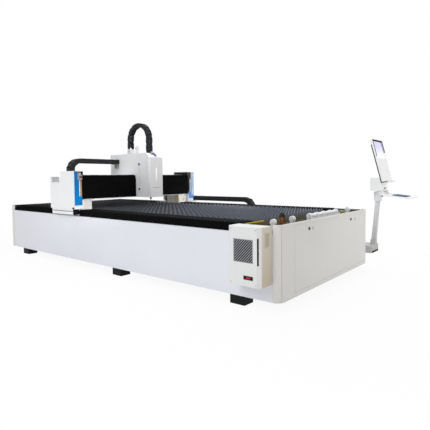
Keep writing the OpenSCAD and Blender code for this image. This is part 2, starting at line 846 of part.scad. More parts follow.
module console_shelf() {
    z = head_z - 60;
    color("whitesmoke") {
        translate([shelf_x0, axis_y - shelf_half, z]) rotate([0, shelf_drop, 0])
            cube([shelf_l, 2 * shelf_half, shelf_th]);
        for (s = [-1, 1]) along_y(axis_y + s * 120 - 4, axis_y + s * 120 + 4, [[axis_x + 30, head_z - seat],
            [axis_x + 35, head_z - seat], [shelf_x0 + 10, head_z + 18], [shelf_x0 + 40, z + 12],
            [shelf_x0 + 40, z + 2], [axis_x + 80, z + 2]]);
    }
}

module start_button() {
    color("green") {
        rod_x(head_x1 + 6, head_x1 + 16, axis_y, head_z + 50, button_r);
        rod_x(head_x1 - 8, head_x1 + 7, axis_y, head_z + 50, button_r - 5);
    }
}

module beam() {
    color("whitesmoke") {
        translate([beam_x0, -beam_half, beam_z]) tube_y(2 * beam_half, beam_x1 - beam_x0, beam_h, beam_t);
        bar(beam_x0 - 190, beam_x0 + cut, -tray_half, tray_half, y_tray - tray_t, y_tray);
        bar(beam_x0 - 8, beam_x0 + cut, -tray_half, tray_half, y_tray - 46, y_tray - cut);
        bar(beam_x1 - 30, beam_x1 + 62, -lip_half, lip_half, lip_z, lip_z + lip_t);
        bar(beam_x1 - 30, beam_x1 - 18, -lip_half, lip_half, lip_z, beam_z + cut);
    }
}

// Foot of the gantry on the near rail
module saddle() {
    z1 = saddle_z + saddle_t;
    y1 = y_n + 250;
    web = servo_x + 60;
    color("whitesmoke") {
        difference() {
            union() {
                bar(saddle_x0, saddle_x1, y_n + 26, y1, saddle_z, z1);
                for (x = [saddle_x0, saddle_x1 - skirt_t])
                    bar(x, x + skirt_t, y_n + 26, y1, z1 - cut, cowl_top);
                bar(saddle_x0, saddle_x1, y_n - skirt_out, y_n + 10, skirt_z1 - skirt_t, skirt_z1);
                bar(web, saddle_x1, y_n, y_n + 38, skirt_z1 - skirt_t, skirt_z1);
                bar(saddle_x0, saddle_x1, y_n - skirt_out, y_n - skirt_out + skirt_t, skirt_z0, skirt_z1);
                for (x = [saddle_x0, saddle_x1 - skirt_t])
                    bar(x, x + skirt_t, y_n - skirt_out, y_n + 30, skirt_z0, skirt_z1);
                bar(web, saddle_x1, y_n + 26, y_n + 38, z1 - cut, skirt_z1);
                bar(beam_x0 - 10, beam_x1 + 5, y_n + ped_y0, y_n + ped_y1, z1 - cut, beam_z - fit);
            }
            bar(beam_x0 + 4, beam_x1 - 9, y_n + ped_y0 - 20, y_n + ped_y1 - 14, z1 + 10, beam_z - 16);
            translate([servo_x, pin_y, saddle_z - cut]) cylinder(h = saddle_t + 2 * cut, r = 26);
        }
        for (x = [saddle_x0 + 75, saddle_x1 - 75]) difference() {
            bar(x - 60, x + 60, rail_y - 45, rail_y + 45, girder_top + 6, girder_top + block_h);
            bar(x - 61, x + 61, rail_y - rail_w / 2 - seat, rail_y + rail_w / 2 + seat, girder_top,
                girder_top + rail_h + seat);
        }
    }
}

module saddle_near() {
    saddle();
}

module saddle_far() {
    y1 = x_ch_y + x_ch_w / 2;
    mirror([0, 1, 0]) saddle();
    color("whitesmoke") {
        bar(x_ch_x - 80, x_ch_x + 60, y_f + skirt_out - cut, y1, skirt_z1 - skirt_t, skirt_z1);
        bar(x_ch_x - 80, x_ch_x + 60, y1 - x_ch_w, y1, skirt_z1 - cut, skirt_z1 + 11);
    }
}

function cover_pts(t) = let (z = cover_z - (t > 0 ? cut : 0)) [[cover_x0 + t, z], [cover_x1 - t, z],
    [cover_x1 - t, cover_top - t], [step_x + t, cover_top - t], [step_x + t, step_top - t],
    [cover_x0 + t, step_top - t]];

// Folded end cover with a lip that stands on the foot's flange
module end_cover() {
    color("whitesmoke") {
        difference() {
            along_y(cover_y0, cover_y1, cover_pts(0));
            along_y(cover_y0 + sheet, cover_y1 + cut, cover_pts(sheet));
            for (i = [0:4]) bar(cover_x0 + 40, step_x - 20, cover_y0 - cut, cover_y0 + sheet + cut,
                step_top - 84 + i * 16, step_top - 76 + i * 16);
            bar(cover_x1 - sheet - cut, cover_x1 + cut, cover_y0 + 58, cover_y1 + cut, ybel_z0 - 12,
                cover_top - 8);
        }
        bar(cover_x0 + cut, cover_x1 - cut, cover_y0 + cut, cover_y0 + 40, cover_z, cover_z + sheet);
    }
}

module end_cover_near() {
    end_cover();
}

module end_cover_far() {
    mirror([0, 1, 0]) end_cover();
}

// Upright trim on the front face, stepped on its inner side, with the end plate of the beam cover
module trim() {
    x0 = cover_x1 + fit;
    color("dodgerblue") translate([x0, 0, 0]) rotate([90, 0, 90]) linear_extrude(trim_t)
        polygon([[cover_y0, trim_z0], [cover_y0 + 116, trim_z0], [cover_y0 + 116, trim_z0 + 125],
            [cover_y0 + 68, trim_z0 + 125], [cover_y0 + 68, cover_top - 125],
            [cover_y0 + 45, cover_top - 125], [cover_y0 + 45, cover_top - 5], [cover_y0, cover_top - 5]]);
}

module trim_near() {
    trim();
}

module trim_far() {
    mirror([0, 1, 0]) trim();
}

module x_servos() {
    z = saddle_z + saddle_t + fit;
    color("dimgray") both() {
        translate([servo_x, pin_y, z]) difference() {
            cylinder(h = 70, r = 45);
            translate([0, 0, -cut]) cylinder(h = 30, r = 15.4);
        }
        translate([servo_x - 45, pin_y - 45, z + 69]) cube([90, 90, 190]);
        translate([servo_x - 40, pin_y - 20, z + 250]) cube([30, 40, 30]);
    }
}

module x_pinion() {
    z = girder_top + 3;
    color("silver") translate([servo_x, pin_y, z]) {
        rotate(90) linear_extrude(rack_h + 6) polygon(gear_pts(x_mod, x_teeth, backlash));
        translate([0, 0, rack_h + 6 + fit]) cylinder(h = saddle_z + saddle_t - z - rack_h + 10, r = 15);
    }
}

module x_pinion_near() {
    x_pinion();
}

module x_pinion_far() {
    mirror([0, 1, 0]) x_pinion();
}

module y_rails() {
    color("silver") for (z = y_rail_zs) bar(beam_x1 + fit, beam_x1 + y_rail_d, -ybel_y + 20, ybel_y - 20,
        z - y_rail_h / 2, z + y_rail_h / 2);
}

module y_rack() {
    p = PI * y_mod;
    k0 = ceil((-ybel_y + 20 - carriage_y) / p);
    k1 = floor((ybel_y - 20 - carriage_y) / p);
    color("silver") translate([y_rack_x, carriage_y, beam_top + fit]) mirror([1, -1, 0])
        linear_extrude(y_rack_h) polygon(rack_pts(y_mod, k0, k1, backlash, 22));
}

module y_bellows_near() {
    color("black") beam_bellows(-ybel_y, car_y0 - seat);
}

module y_bellows_far() {
    color("black") beam_bellows(car_y1 + seat, ybel_y);
}

module y_chain() {
    p = 2 * y_ch_r * sin(90 / y_ch_n);
    up = 11;
    color("black") translate([y_ch_x, y_ch_y - up * p, y_ch_low + y_ch_r]) rotate(-90)
        chain(turn_pins(y_ch_r, y_ch_n, up, 8), y_ch_h, y_ch_w, y_ch_r);
}

module gas_valve() {
    x0 = cover_x1 + fit;
    y = cover_y0 + 84;
    z = cover_top - 125 + fit;
    color("lightgray") {
        bar(x0 - 40, x0 + 30, y - 24, y + 24, z, z + 70);
        translate([x0 + 5, y, z + 69]) cylinder(h = 30, r = 18);
        rod_x(x0 + 29, x0 + 45, y, z + 40, 20);
        translate([x0 - 5, y, z + 98]) cylinder(h = 14, r = 24);
    }
}

module carriage_plate() {
    half = carriage_w / 2 - sheet - seat;
    color("silver") {
        bar(plate_x, plate_x + plate_t, carriage_y - plate_half, carriage_y + plate_half, beam_z - 15,
            shelf_z + shelf_t);
        difference() {
            bar(beam_x0 + 10, plate_x + cut, carriage_y - half, carriage_y + half, shelf_z,
                shelf_z + shelf_t);
            translate([y_rack_x - y_rp, carriage_y, shelf_z - cut]) cylinder(h = shelf_t + 2 * cut, r = 20);
        }
        for (z = y_rail_zs, y = [carriage_y - 80, carriage_y + 80]) difference() {
            bar(beam_x1 + 4, plate_x - fit, y - 45, y + 45, z - 30, z + 30);
            bar(beam_x1, beam_x1 + y_rail_d + seat, y - 46, y + 46, z - y_rail_h / 2 - seat,
                z + y_rail_h / 2 + seat);
        }
    }
}

// Side outline of the carriage cover
function car_pts(t) = [[car_x0 + t, notch_z], [car_x0 + t, carriage_top - t],
    [car_x1 - nose_x - t * 0.4, carriage_top - t], [car_x1 - t, carriage_top - nose_z - t * 0.4],
    [car_x1 - t, car_z],
    [notch_x, car_z], [notch_x, notch_z - notch_cut], [notch_x - notch_cut, notch_z]];

module car_plan(t) {
    x1 = car_x1 - t;
    r = car_round - t;
    translate([car_x0 + t, car_y0 + t]) square([x1 - r - car_x0 - t, carriage_w - 2 * t]);
    translate([x1 - r - cut, car_y0 + t + r]) square([r + cut, carriage_w - 2 * t - 2 * r]);
    for (y = [car_y0 + t + r, car_y1 - t - r]) translate([x1 - r, y]) circle(r);
}

module carriage_cover() {
    inside = car_pts(sheet);
    color("whitesmoke") {
        difference() {
            intersection() {
                along_y(car_y0, car_y1, car_pts(0));
                translate([0, 0, car_z]) linear_extrude(carriage_top - car_z) car_plan(0);
            }
            intersection() {
                along_y(car_y0 - cut, car_y1 + cut, [[inside[0][0], notch_z - notch_cut], inside[1],
                    inside[2], inside[3], [inside[4][0], car_z - cut], [notch_x - cut, car_z - cut],
                    [notch_x - cut, notch_z - notch_cut]]);
                translate([0, 0, car_z - cut]) linear_extrude(carriage_top - car_z) car_plan(sheet);
            }
            bar(head_x - 65, fibre_x + 40, carriage_y - 52, carriage_y + 52, carriage_top - nose_z,
                carriage_top + cut);
            for (z = cover_lock_zs) rod_y(car_y0 - cut, car_y0 + 2 * sheet, notch_x + 82, z, lock_pin + 0.3);
        }
        bar(y_ch_x - y_ch_w / 2, y_ch_x + y_ch_w / 2, y_ch_y - 28, car_y0 + cut, y_hold - 16, y_hold);
        difference() {
            bar(arch_x - 41, arch_x + 41, carriage_y - 44, carriage_y + 44, carriage_top - cut, arch_foot);
            bar(arch_x - 33, arch_x + 33, carriage_y - 45, carriage_y + 45, carriage_top + 8, arch_foot - 8);
        }
    }
}

module y_servo() {
    z = shelf_z + shelf_t + fit;
    x = y_rack_x - y_rp;
    color("dimgray") {
        translate([x, carriage_y, z]) difference() {
            cylinder(h = 60, r = 38);
            translate([0, 0, -cut]) cylinder(h = 25, r = 12.4);
        }
        translate([x - 40, carriage_y - 40, z + 59]) cube([80, 80, 150]);
        translate([x - 30, carriage_y - 18, z + 205]) cube([26, 36, 26]);
    }
}

module y_pinion() {
    z = beam_top + 3;
    color("silver") translate([y_rack_x - y_rp, carriage_y, z]) {
        linear_extrude(y_rack_h) polygon(gear_pts(y_mod, y_teeth, backlash));
        translate([0, 0, y_rack_h + fit]) cylinder(h = shelf_z + shelf_t - z - y_rack_h + 10, r = 12);
    }
}

module z_actuator() {
    x0 = plate_x + plate_t + fit;
    color("dimgray") {
        bar(x0, act_x1, carriage_y - 75, carriage_y + 75, beam_z, carriage_top - 140);
        bar(x0 + 10, act_x1 - 10, carriage_y - 35, carriage_y + 35, carriage_top - 141, carriage_top - 30);
    }
}

module cover_lock(z) {
    color("dimgray") translate([notch_x + 82, car_y0, z]) rotate([90, 0, 0]) turn_lock(30, sheet);
}

module cover_lock_a() {
    cover_lock(cover_lock_zs[0]);
}

module cover_lock_b() {
    cover_lock(cover_lock_zs[1]);
}

module z_chain() {
    p = 2 * arch_r * sin(90 / z_ch_n);
    z0 = arch_foot + z_ch_h / 2 + seat + 2 * p;
    color("black") translate([arch_x + arch_r, carriage_y, z0]) rotate([0, -90, 0]) mirror([0, 0, 1])
        chain(concat([for (i = [2:-1:1]) [-i * p, -arch_r]],
            [for (i = [0:z_ch_n]) let (a = 180 * i / z_ch_n) [arch_r * sin(a), -arch_r * cos(a)]],
            [for (i = [1:4]) [-i * p, arch_r]]), z_ch_h, z_ch_w, arch_r);
}

module laser_head() {
    p = 2 * arch_r * sin(90 / z_ch_n);
    foot = arch_foot - 2 * p;
    x = arch_x + 2 * arch_r;
    color("darkgray") {
        bar(act_x1 + seat, head_x - head_w / 2 + cut, carriage_y - 60, carriage_y + 60, beam_z + 120,
            carriage_top - 180);
        bar(head_x - head_w / 2, head_x + head_w / 2, carriage_y - 55, carriage_y + 55, beam_z + 80,
            carriage_top - 160);
        translate([head_x, carriage_y, beam_z]) cylinder(h = 81, r = 45);
        translate([head_x, carriage_y, tip_z + 42]) cylinder(h = beam_z - tip_z - 41, r1 = 19, r2 = 45);
        translate([fibre_x - 15, carriage_y, carriage_top - 170]) cylinder(h = 195, r = 24);
        bar(x - 26, x + 12, carriage_y - 40, carriage_y + 40, carriage_top - 161, foot);
    }
}

module nozzle() {
    color("gold") {
        translate([head_x, carriage_y, tip_z + 18]) cylinder(h = 24 - fit, r = 16);
        translate([head_x, carriage_y, tip_z]) cylinder(h = 19, r1 = 5, r2 = 14);
    }
}

bed_frame();
near_panel();
far_panel();
front_cowl();
front_door();
door_lock_a();
door_lock_b();
rear_cowl();
feet();
x_rails();
x_racks();
slats();
slat_bars();
drawer_1();
drawer_2();
drawer_3();
x_bellows_rear();
x_bellows_front();
x_chain();
x_chain_tray();
front_deck();
roller_1();
roller_2();
roller_mid();
roller_4();
cooler_case();
cooler_grille();
cooler_fan();
console_base();
console_column();
console_head();
console_monitor();
console_shelf();
start_button();
beam();
saddle_near();
saddle_far();
end_cover_near();
end_cover_far();
trim_near();
trim_far();
x_servos();
x_pinion_near();
x_pinion_far();
y_rails();
y_rack();
y_bellows_near();
y_bellows_far();
y_chain();
gas_valve();
carriage_plate();
carriage_cover();
y_servo();
y_pinion();
z_actuator();
cover_lock_a();
cover_lock_b();
z_chain();
laser_head();
nozzle();
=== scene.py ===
"""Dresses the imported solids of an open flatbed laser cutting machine."""

import logging
import math
from dataclasses import dataclass
from enum import Enum
from typing import Callable, Iterable

import bmesh
import bpy
from mathutils import Matrix, Vector


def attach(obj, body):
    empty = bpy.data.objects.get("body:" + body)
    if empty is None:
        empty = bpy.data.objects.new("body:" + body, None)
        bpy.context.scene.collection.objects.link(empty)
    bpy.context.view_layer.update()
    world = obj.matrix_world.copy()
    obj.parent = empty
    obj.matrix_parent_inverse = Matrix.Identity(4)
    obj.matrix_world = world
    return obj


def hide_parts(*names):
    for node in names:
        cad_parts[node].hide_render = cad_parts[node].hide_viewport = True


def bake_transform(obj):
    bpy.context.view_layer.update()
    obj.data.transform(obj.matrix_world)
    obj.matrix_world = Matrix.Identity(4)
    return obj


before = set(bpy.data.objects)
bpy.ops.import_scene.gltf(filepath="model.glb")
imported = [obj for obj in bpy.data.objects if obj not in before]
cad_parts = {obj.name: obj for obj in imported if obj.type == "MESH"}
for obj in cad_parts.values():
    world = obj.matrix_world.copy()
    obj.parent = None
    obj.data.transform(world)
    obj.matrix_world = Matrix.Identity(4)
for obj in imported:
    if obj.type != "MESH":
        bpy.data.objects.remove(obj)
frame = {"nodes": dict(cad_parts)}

log = logging.getLogger("laser_cutter")
Colour = tuple[float, float, float]
Point = tuple[float, float, float]
Span = tuple[float, float]
# A block is its low and high corner, the radius of its edges and their segments.
Block = tuple[Point, Point, float] | tuple[Point, Point, float, int]
# A bar is the middles of its ends, its radius, the radius of its rims and its facets.
Bar = tuple[Point, Point, float] | tuple[Point, Point, float, float] | tuple[Point, Point, float, float, int]
Bodies = tuple[str, str]
Outline = Callable[[float, float], list[Point]]
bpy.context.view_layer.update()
WHITE: Colour = (1.0, 1.0, 1.0)
ORIGIN: Point = (0.0, 0.0, 0.0)
LONG_BLEND = 120.0
WELD_GAP = 1e-5
FLAT_ANGLE = math.radians(1.0)
EDGE_ANGLE = math.radians(50.0)
EDGE_WIDTH = 0.002


def srgb(code: str) -> Colour:
    """Returns the linear colour of a six-digit web colour."""
    parts = [int(code[i:i + 2], 16) / 255 for i in (0, 2, 4)]
    return tuple(p / 12.92 if p <= 0.04045 else ((p + 0.055) / 1.055) ** 2.4 for p in parts)


def shade(colour: Colour, share: float) -> Colour:
    """Returns a colour made darker or lighter."""
    return tuple(min(1.0, c * share) for c in colour)


class Axis(Enum):
    """A direction of the machine's frame."""

    X = 0
    Y = 1
    Z = 2

    def at(self, place: float) -> Point:
        """Returns the point of that place on this axis."""
        return tuple(place if axis is self else 0.0 for axis in Axis)


class Sock:
    """A shader socket whose arithmetic adds Math nodes."""

    def __init__(self, tree: "Tree", out: bpy.types.NodeSocket) -> None:
        """Keeps the socket and the tree that it belongs to."""
        self.tree = tree
        self.out = out

    def math(self, op: str, first: "Sock | float", second: "Sock | float" = 0.0) -> "Sock":
        """Returns the result of one Math node."""
        return self.tree.node("ShaderNodeMath", {"operation": op}, {0: first, 1: second})

    def __add__(self, other: "Sock | float") -> "Sock":
        """Returns the sum."""
        return self.math("ADD", self, other)

    def __radd__(self, other: float) -> "Sock":
        """Returns the sum."""
        return self.math("ADD", other, self)

    def __sub__(self, other: "Sock | float") -> "Sock":
        """Returns the difference."""
        return self.math("SUBTRACT", self, other)

    def __rsub__(self, other: float) -> "Sock":
        """Returns the difference."""
        return self.math("SUBTRACT", other, self)

    def __mul__(self, other: "Sock | float") -> "Sock":
        """Returns the product."""
        return self.math("MULTIPLY", self, other)

    def __gt__(self, other: "Sock | float") -> "Sock":
        """Returns 1 where this is greater."""
        return self.math("GREATER_THAN", self, other)

    def __lt__(self, other: "Sock | float") -> "Sock":
        """Returns 1 where this is less."""
        return self.math("LESS_THAN", self, other)

    def ramp(self, low: float, high: float) -> "Sock":
        """Returns this rescaled to 0 at low and 1 at high, and held there outside."""
        return self.tree.node("ShaderNodeMapRange", {"clamp": True}, {0: self, 1: low, 2: high})


class Tree:
    """A node tree of a material or of the world, with one shader."""

    def __init__(self, owner: bpy.types.Material | bpy.types.World,
                 shader: str = "ShaderNodeBsdfPrincipled", output: str = "ShaderNodeOutputMaterial") -> None:
        """Empties the owner's tree and adds its shader and output.

        Args:
            owner: The material or world.
            shader: The shader's node type.
            output: The output's node type.
        """
        owner.use_nodes = True
        self.nodes = owner.node_tree.nodes
        self.links = owner.node_tree.links
        self.nodes.clear()
        self.shader = self.nodes.new(shader)
        self.surface = self.nodes.new(output).inputs["Surface"]
        self.links.new(self.shader.outputs[0], self.surface)

    def node(self, kind: str, settings: dict, inputs: dict, out: int | str = 0) -> Sock:
        """Adds any node.

        Args:
            kind: The node's type.
            settings: Properties of the node, set first.
            inputs: Values or links of its sockets, by name or number.
            out: Which result to return.

        Returns:
            The chosen result.
        """
        made = self.nodes.new(kind)
        for key, value in settings.items():
            setattr(made, key, value)
        for key, value in inputs.items():
            self.feed(made.inputs[key], value)
        return Sock(self, made.outputs[out])

    def feed(self, socket: bpy.types.NodeSocket, value: object) -> None:
        """Links or sets one socket.

        Args:
            socket: The socket.
            value: A result to link, or a colour or plain value to set.
        """
        if isinstance(value, Sock):
            self.links.new(value.out, socket)
        elif isinstance(value, tuple) and len(value) == 3 and socket.type == "RGBA":
            socket.default_value = (*value, 1.0)
        else:
            socket.default_value = value

    def set(self, name: str, value: object) -> None:
        """Links or sets one socket of the shader."""
        self.feed(self.shader.inputs[name], value)

    def place(self) -> Sock:
        """Returns the object's own coordinates."""
        return self.node("ShaderNodeTexCoord", {}, {}, "Object")

    def axis(self, which: Axis) -> Sock:
        """Returns one of the object's own coordinates."""
        return self.node("ShaderNodeSeparateXYZ", {}, {0: self.place()}, which.value)

    def noise(self, scale: float, detail: float = 2.0, stretch: Point = (1, 1, 1)) -> Sock:
        """Returns noise about 0.5 of so many lumps a metre."""
        spot = self.node("ShaderNodeMapping", {}, {"Vector": self.place(), "Scale": stretch})
        return self.node("ShaderNodeTexNoise", {}, {"Vector": spot, "Scale": scale, "Detail": detail})

    def patches(self, scale: float, detail: float) -> Sock:
        """Returns noise drawn out to reach from 0 to 1."""
        return self.noise(scale, detail).ramp(0.3, 0.7)

    def wave(self, scale: float, direction: Axis) -> Sock:
        """Returns fine parallel waves."""
        return self.node("ShaderNodeTexWave", {"bands_direction": direction.name},
                         {"Vector": self.place(), "Scale": scale})

    def mix(self, share: Sock | float, first: Colour | Sock, second: Colour | Sock) -> Sock:
        """Mixes two colours.

        Args:
            share: The share of the second colour.
            first: The first colour.
            second: The second colour.

        Returns:
            The mixed colour.
        """
        made = self.nodes.new("ShaderNodeMix")
        made.data_type = "RGBA"
        self.feed(made.inputs["Factor"], share)
        sockets = [s for s in made.inputs if s.type == "RGBA"]
        self.feed(sockets[0], first)
        self.feed(sockets[1], second)
        return Sock(self, next(s for s in made.outputs if s.type == "RGBA"))

    def tones(self, share: Sock, colour: Colour, dark: float, light: float) -> Sock:
        """Returns a colour between a darker and a lighter tone of it."""
        return self.mix(share, shade(colour, dark), shade(colour, light))

    def bump(self, height: Sock, depth: float) -> None:
        """Gives the shader a bumpy surface of that depth in metres."""
        inputs = {"Height": height, "Distance": depth, "Strength": 1.0}
        self.set("Normal", self.node("ShaderNodeBump", {}, inputs))

    def seen(self) -> Sock:
        """Returns 1 for rays that show the background to the eye, a mirror or a glass."""
        path = self.nodes.new("ShaderNodeLightPath")
        eye, mirror, glass = (Sock(self, path.outputs[f"Is {ray} Ray"])
                              for ray in ("Camera", "Glossy", "Transmission"))
        return (eye + mirror + glass).ramp(0.0, 1.0)


@dataclass(frozen=True)
class Finish:
    """A surface finish: its name, colour, roughness and gloss."""

    name: str
    colour: Colour
    rough: float = 0.5
    gloss: float = 0.4

    def material(self) -> bpy.types.Material:
        """Makes the finish's material the first time that it is asked for.

        Returns:
            The material.
        """
        known = bpy.data.materials.get(self.name)
        if known is not None and known.get("finish"):
            return known
        made = bpy.data.materials.new(self.name)
        made["finish"] = True
        tree = Tree(made)
        tree.set("Specular IOR Level", self.gloss)
        self.dress(tree)
        return made

    def surface(self, tree: Tree, colour: Sock, worn: Sock, uneven: float) -> None:
        """Sets the colour, and a roughness that varies about the finish's own.

        Args:
            tree: The material's nodes.
            colour: The colour.
            worn: What the roughness varies with, about 0.5.
            uneven: How much it varies.
        """
        tree.set("Base Color", colour)
        tree.set("Roughness", self.rough + (worn - 0.5) * uneven)

    def dress(self, tree: Tree) -> None:
        """Builds the finish's nodes."""
        raise NotImplementedError


@dataclass(frozen=True)
class PowderCoat(Finish):
    """Sprayed and baked paint with a fine orange-peel surface and faint cloudy tone."""

    peel: float = 0.00012
    cloud: float = 0.035
    lumps: float = 420.0

    def coat(self, tree: Tree, colour: Sock, worn: Sock, uneven: float = 0.1) -> None:
        """Sets the colour, roughness and orange peel, with arguments as surface has them."""
        self.surface(tree, colour, worn, uneven)
        tree.bump(tree.noise(self.lumps, 2.0), self.peel)

    def dress(self, tree: Tree) -> None:
        """Builds the nodes of plain paint.

        Args:
            tree: The material's nodes.
        """
        dust = tree.noise(60.0, 4.0)
        tone = (tree.noise(1.3, 3.0) * 0.7 + dust * 0.3).ramp(0.3, 0.7)
        self.coat(tree, tree.tones(tone, self.colour, 1 - self.cloud, 1 + self.cloud), dust, 0.12)


@dataclass(frozen=True)
class SlatSteel(Finish):
    """Dark rolled plate, paler at the cut tips, with painted shade darkening it towards the rear and painted
    light brightening it towards the front.
    """

    tip: float = 0.822
    depth: float = 0.03
    shade_span: Span = (-1.4, 1.5)
    shaded_plate: Colour = srgb("56585A")
    shaded_tip: Colour = srgb("606265")
    lit_tip: Colour = srgb("A3ABB9")

    def dress(self, tree: Tree) -> None:
        """Builds the plate's nodes.

        Args:
            tree: The material's nodes.
        """
        scale = tree.noise(9.0, 5.0, (1, 3, 12))
        spatter = tree.noise(160.0, 3.0)
        edge = tree.axis(Axis.Z).ramp(self.tip - self.depth, self.tip)
        # painted light and shade: shaded at the rear under the gantry, lit and bluish towards the front
        lit_share = (tree.axis(Axis.X) + tree.axis(Axis.Y) * 0.6).ramp(*self.shade_span)
        stain = (scale * 0.6 + spatter * 0.4).ramp(0.4, 0.66)
        # dark is the painted shade tone and pale the painted light tone of the plate
        dark = tree.tones(stain, self.shaded_plate, 0.3, 0.78)
        pale = tree.tones(stain, self.colour, 0.65, 1.75)
        tips = tree.mix(lit_share, self.shaded_tip, self.lit_tip)
        self.surface(tree, tree.mix(edge * 0.45, tree.mix(lit_share, dark, pale), tips), spatter, 0.3)
        tree.set("Metallic", 0.55)
        tree.bump(spatter * 0.6 + scale * 0.4, 0.0004)


@dataclass(frozen=True)
class Metal(Finish):
    """Ground or cast metal with fine drawn lines."""

    lines: Point = (1, 60, 60)
    metallic: float = 1.0

    def dress(self, tree: Tree) -> None:
        """Builds the metal's nodes.

        Args:
            tree: The material's nodes.
        """
        grain = tree.noise(30.0, 3.0, self.lines)
        tone = (grain * 0.5 + tree.noise(6.0, 2.0) * 0.5).ramp(0.3, 0.7)
        self.surface(tree, tree.tones(tone, self.colour, 0.82, 1.12), grain, 0.25)
        tree.set("Metallic", self.metallic)
        tree.bump(grain, 0.00006)


@dataclass(frozen=True)
class CoatedCloth(Finish):
    """Coated cloth with a fine weave and a dusty bloom."""

    weave: float = 260.0

    def dress(self, tree: Tree) -> None:
        """Builds the cloth's nodes.

        Args:
            tree: The material's nodes.
        """
        warp, side, weft = (tree.wave(self.weave, axis) for axis in Axis)
        bloom = tree.noise(14.0, 4.0)
        self.surface(tree, tree.tones(bloom.ramp(0.35, 0.75), self.colour, 0.7, 1.5), bloom, 0.2)
        tree.bump(warp * 0.34 + weft * 0.33 + side * 0.33, 0.00015)


@dataclass(frozen=True)
class Moulded(Finish):
    """Moulded plastic or rubber with a spark-eroded grain."""

    grain: float = 0.00015
    speckle: float = 0.35

    def dress(self, tree: Tree) -> None:
        """Builds the plastic's nodes.

        Args:
            tree: The material's nodes.
        """
        fine = tree.noise(700.0, 2.0)
        patch = tree.noise(25.0, 4.0)
        tone = (fine * 0.35 + patch * 0.65).ramp(0.32, 0.68)
        self.surface(tree, tree.tones(tone, self.colour, 1 - self.speckle, 1 + self.speckle), patch, 0.2)
        tree.bump(fine, self.grain)


@dataclass(frozen=True)
class DeckPaint(PowderCoat):
    """Worn deck paint, with steel brackets, a brown stop and black end plates, all on one weldment."""

    bracket: Colour = srgb("E4E7EC")
    stop: Colour = srgb("A07350")
    stop_cap: Colour = srgb("423B3C")
    dark: Colour = srgb("141516")
    level: float = 0.7435
    stop_at: Span = (-0.804, -0.744)
    cap_at: Span = (0.84, 0.86)
    plates_end: float = 2.257

    def dress(self, tree: Tree) -> None:
        """Builds the nodes: each colour keeps to its own place on the weldment.

        Args:
            tree: The material's nodes.
        """
        x, y, z = (tree.axis(axis) for axis in Axis)
        grime = tree.noise(22.0, 5.0).ramp(0.35, 0.7)
        chips = tree.noise(120.0, 3.0)
        plate = tree.tones(grime, self.colour, 0.6, 1.35)
        steel = tree.tones(chips.ramp(0.4, 0.7), self.bracket, 0.75, 1.3)
        brown = tree.mix(z.ramp(*self.cap_at), tree.tones(grime, self.stop, 0.45, 1.15), self.stop_cap)
        above = z > self.level
        near_stop = (y > self.stop_at[0]) * (y < self.stop_at[1]) * above
        tone = tree.mix(near_stop, tree.mix(above, plate, steel), brown)
        self.surface(tree, tree.mix(x < self.plates_end, tone, self.dark), grime, 0.3)
        tree.bump(chips, 0.0002)


@dataclass(frozen=True)
class UnitPaint(PowderCoat):
    """White paint of the cooling unit, with painted warm shade on the end that faces forward, darker towards
    its foot.
    """

    # painted shade: the warm shaded tone of the forward end
    end_shade: Colour = srgb("DDD5C6")
    # painted shade: the forward end darkens to this towards its foot
    foot: Colour = srgb("CDBFA8")
    end_at: float = 2.6225
    rise: Span = (0.3, 0.75)

    def dress(self, tree: Tree) -> None:
        """Builds the nodes of the white sides and the painted shade of the forward end.

        Args:
            tree: The material's nodes.
        """
        dust = tree.patches(60.0, 4.0)
        white = tree.tones(dust, self.colour, 0.975, 1.02)
        # painted shade on the forward end, darker towards its foot
        end_shade = tree.mix(tree.axis(Axis.Z).ramp(*self.rise), self.foot, self.end_shade)
        end_shade = tree.mix(dust * 0.06, end_shade, WHITE)
        self.coat(tree, tree.mix(tree.axis(Axis.X) > self.end_at, white, end_shade), dust)


@dataclass(frozen=True)
class SaddlePaint(PowderCoat):
    """White paint tinted cream by painted warm reflection, with a tan inner face."""

    inner: Colour = srgb("EBD9C0")
    face_at: float = 0.9125
    tan_from: float = -0.72

    def dress(self, tree: Tree) -> None:
        """Builds the nodes of the paint and the tan face.

        Args:
            tree: The material's nodes.
        """
        dust = tree.patches(40.0, 4.0)
        cream = tree.tones(dust, self.colour, 0.97, 1.03)
        tan = tree.tones(dust, self.inner, 0.9, 1.1)
        tan_face = (tree.axis(Axis.Y) < self.face_at) * (tree.axis(Axis.X) > self.tan_from)
        self.coat(tree, tree.mix(tan_face, cream, tan), dust)


@dataclass(frozen=True)
class PaintedGlareTrim(PowderCoat):
    """Blue trim with painted glare: a lighter blue all over, and a pale band down its middle."""

    # painted glare: the colour of the pale band of reflected light
    pale: Colour = srgb("DCE9F8")
    middle: float = 1.190
    half: float = 0.030
    foot: float = 0.925
    fade: float = 0.05

    def dress(self, tree: Tree) -> None:
        """Builds the nodes of the trim and its band of painted glare.

        Args:
            tree: The material's nodes.
        """
        off = tree.axis(Axis.Y) - self.middle
        off = off.math("ABSOLUTE", off)
        high = tree.axis(Axis.Z).ramp(self.foot, self.foot + self.fade)
        # painted glare down the middle, kept off the trim's foot
        glare_band = (1.0 - off.ramp(self.half * 0.35, self.half)) * high
        cloud = tree.patches(18.0, 3.0)
        self.coat(tree, tree.mix(glare_band, tree.tones(cloud, self.colour, 0.9, 1.1), self.pale), cloud)


@dataclass(frozen=True)
class ValvePaint(PowderCoat):
    """Grey valve body with a black knob on top and a red plug in front."""

    knob: Colour = srgb("4A4C52")
    knob_at: float = 1.3435
    plug: Colour = srgb("7C4A48")
    plug_at: float = -0.5195

    def dress(self, tree: Tree) -> None:
        """Builds the nodes of the body, plug and knob.

        Args:
            tree: The material's nodes.
        """
        chips = tree.patches(150.0, 3.0)
        body = tree.tones(chips, self.colour, 0.85, 1.1)
        plugged = tree.mix(tree.axis(Axis.X) > self.plug_at, body, self.plug)
        self.coat(tree, tree.mix(tree.axis(Axis.Z) > self.knob_at, plugged, self.knob), chips)


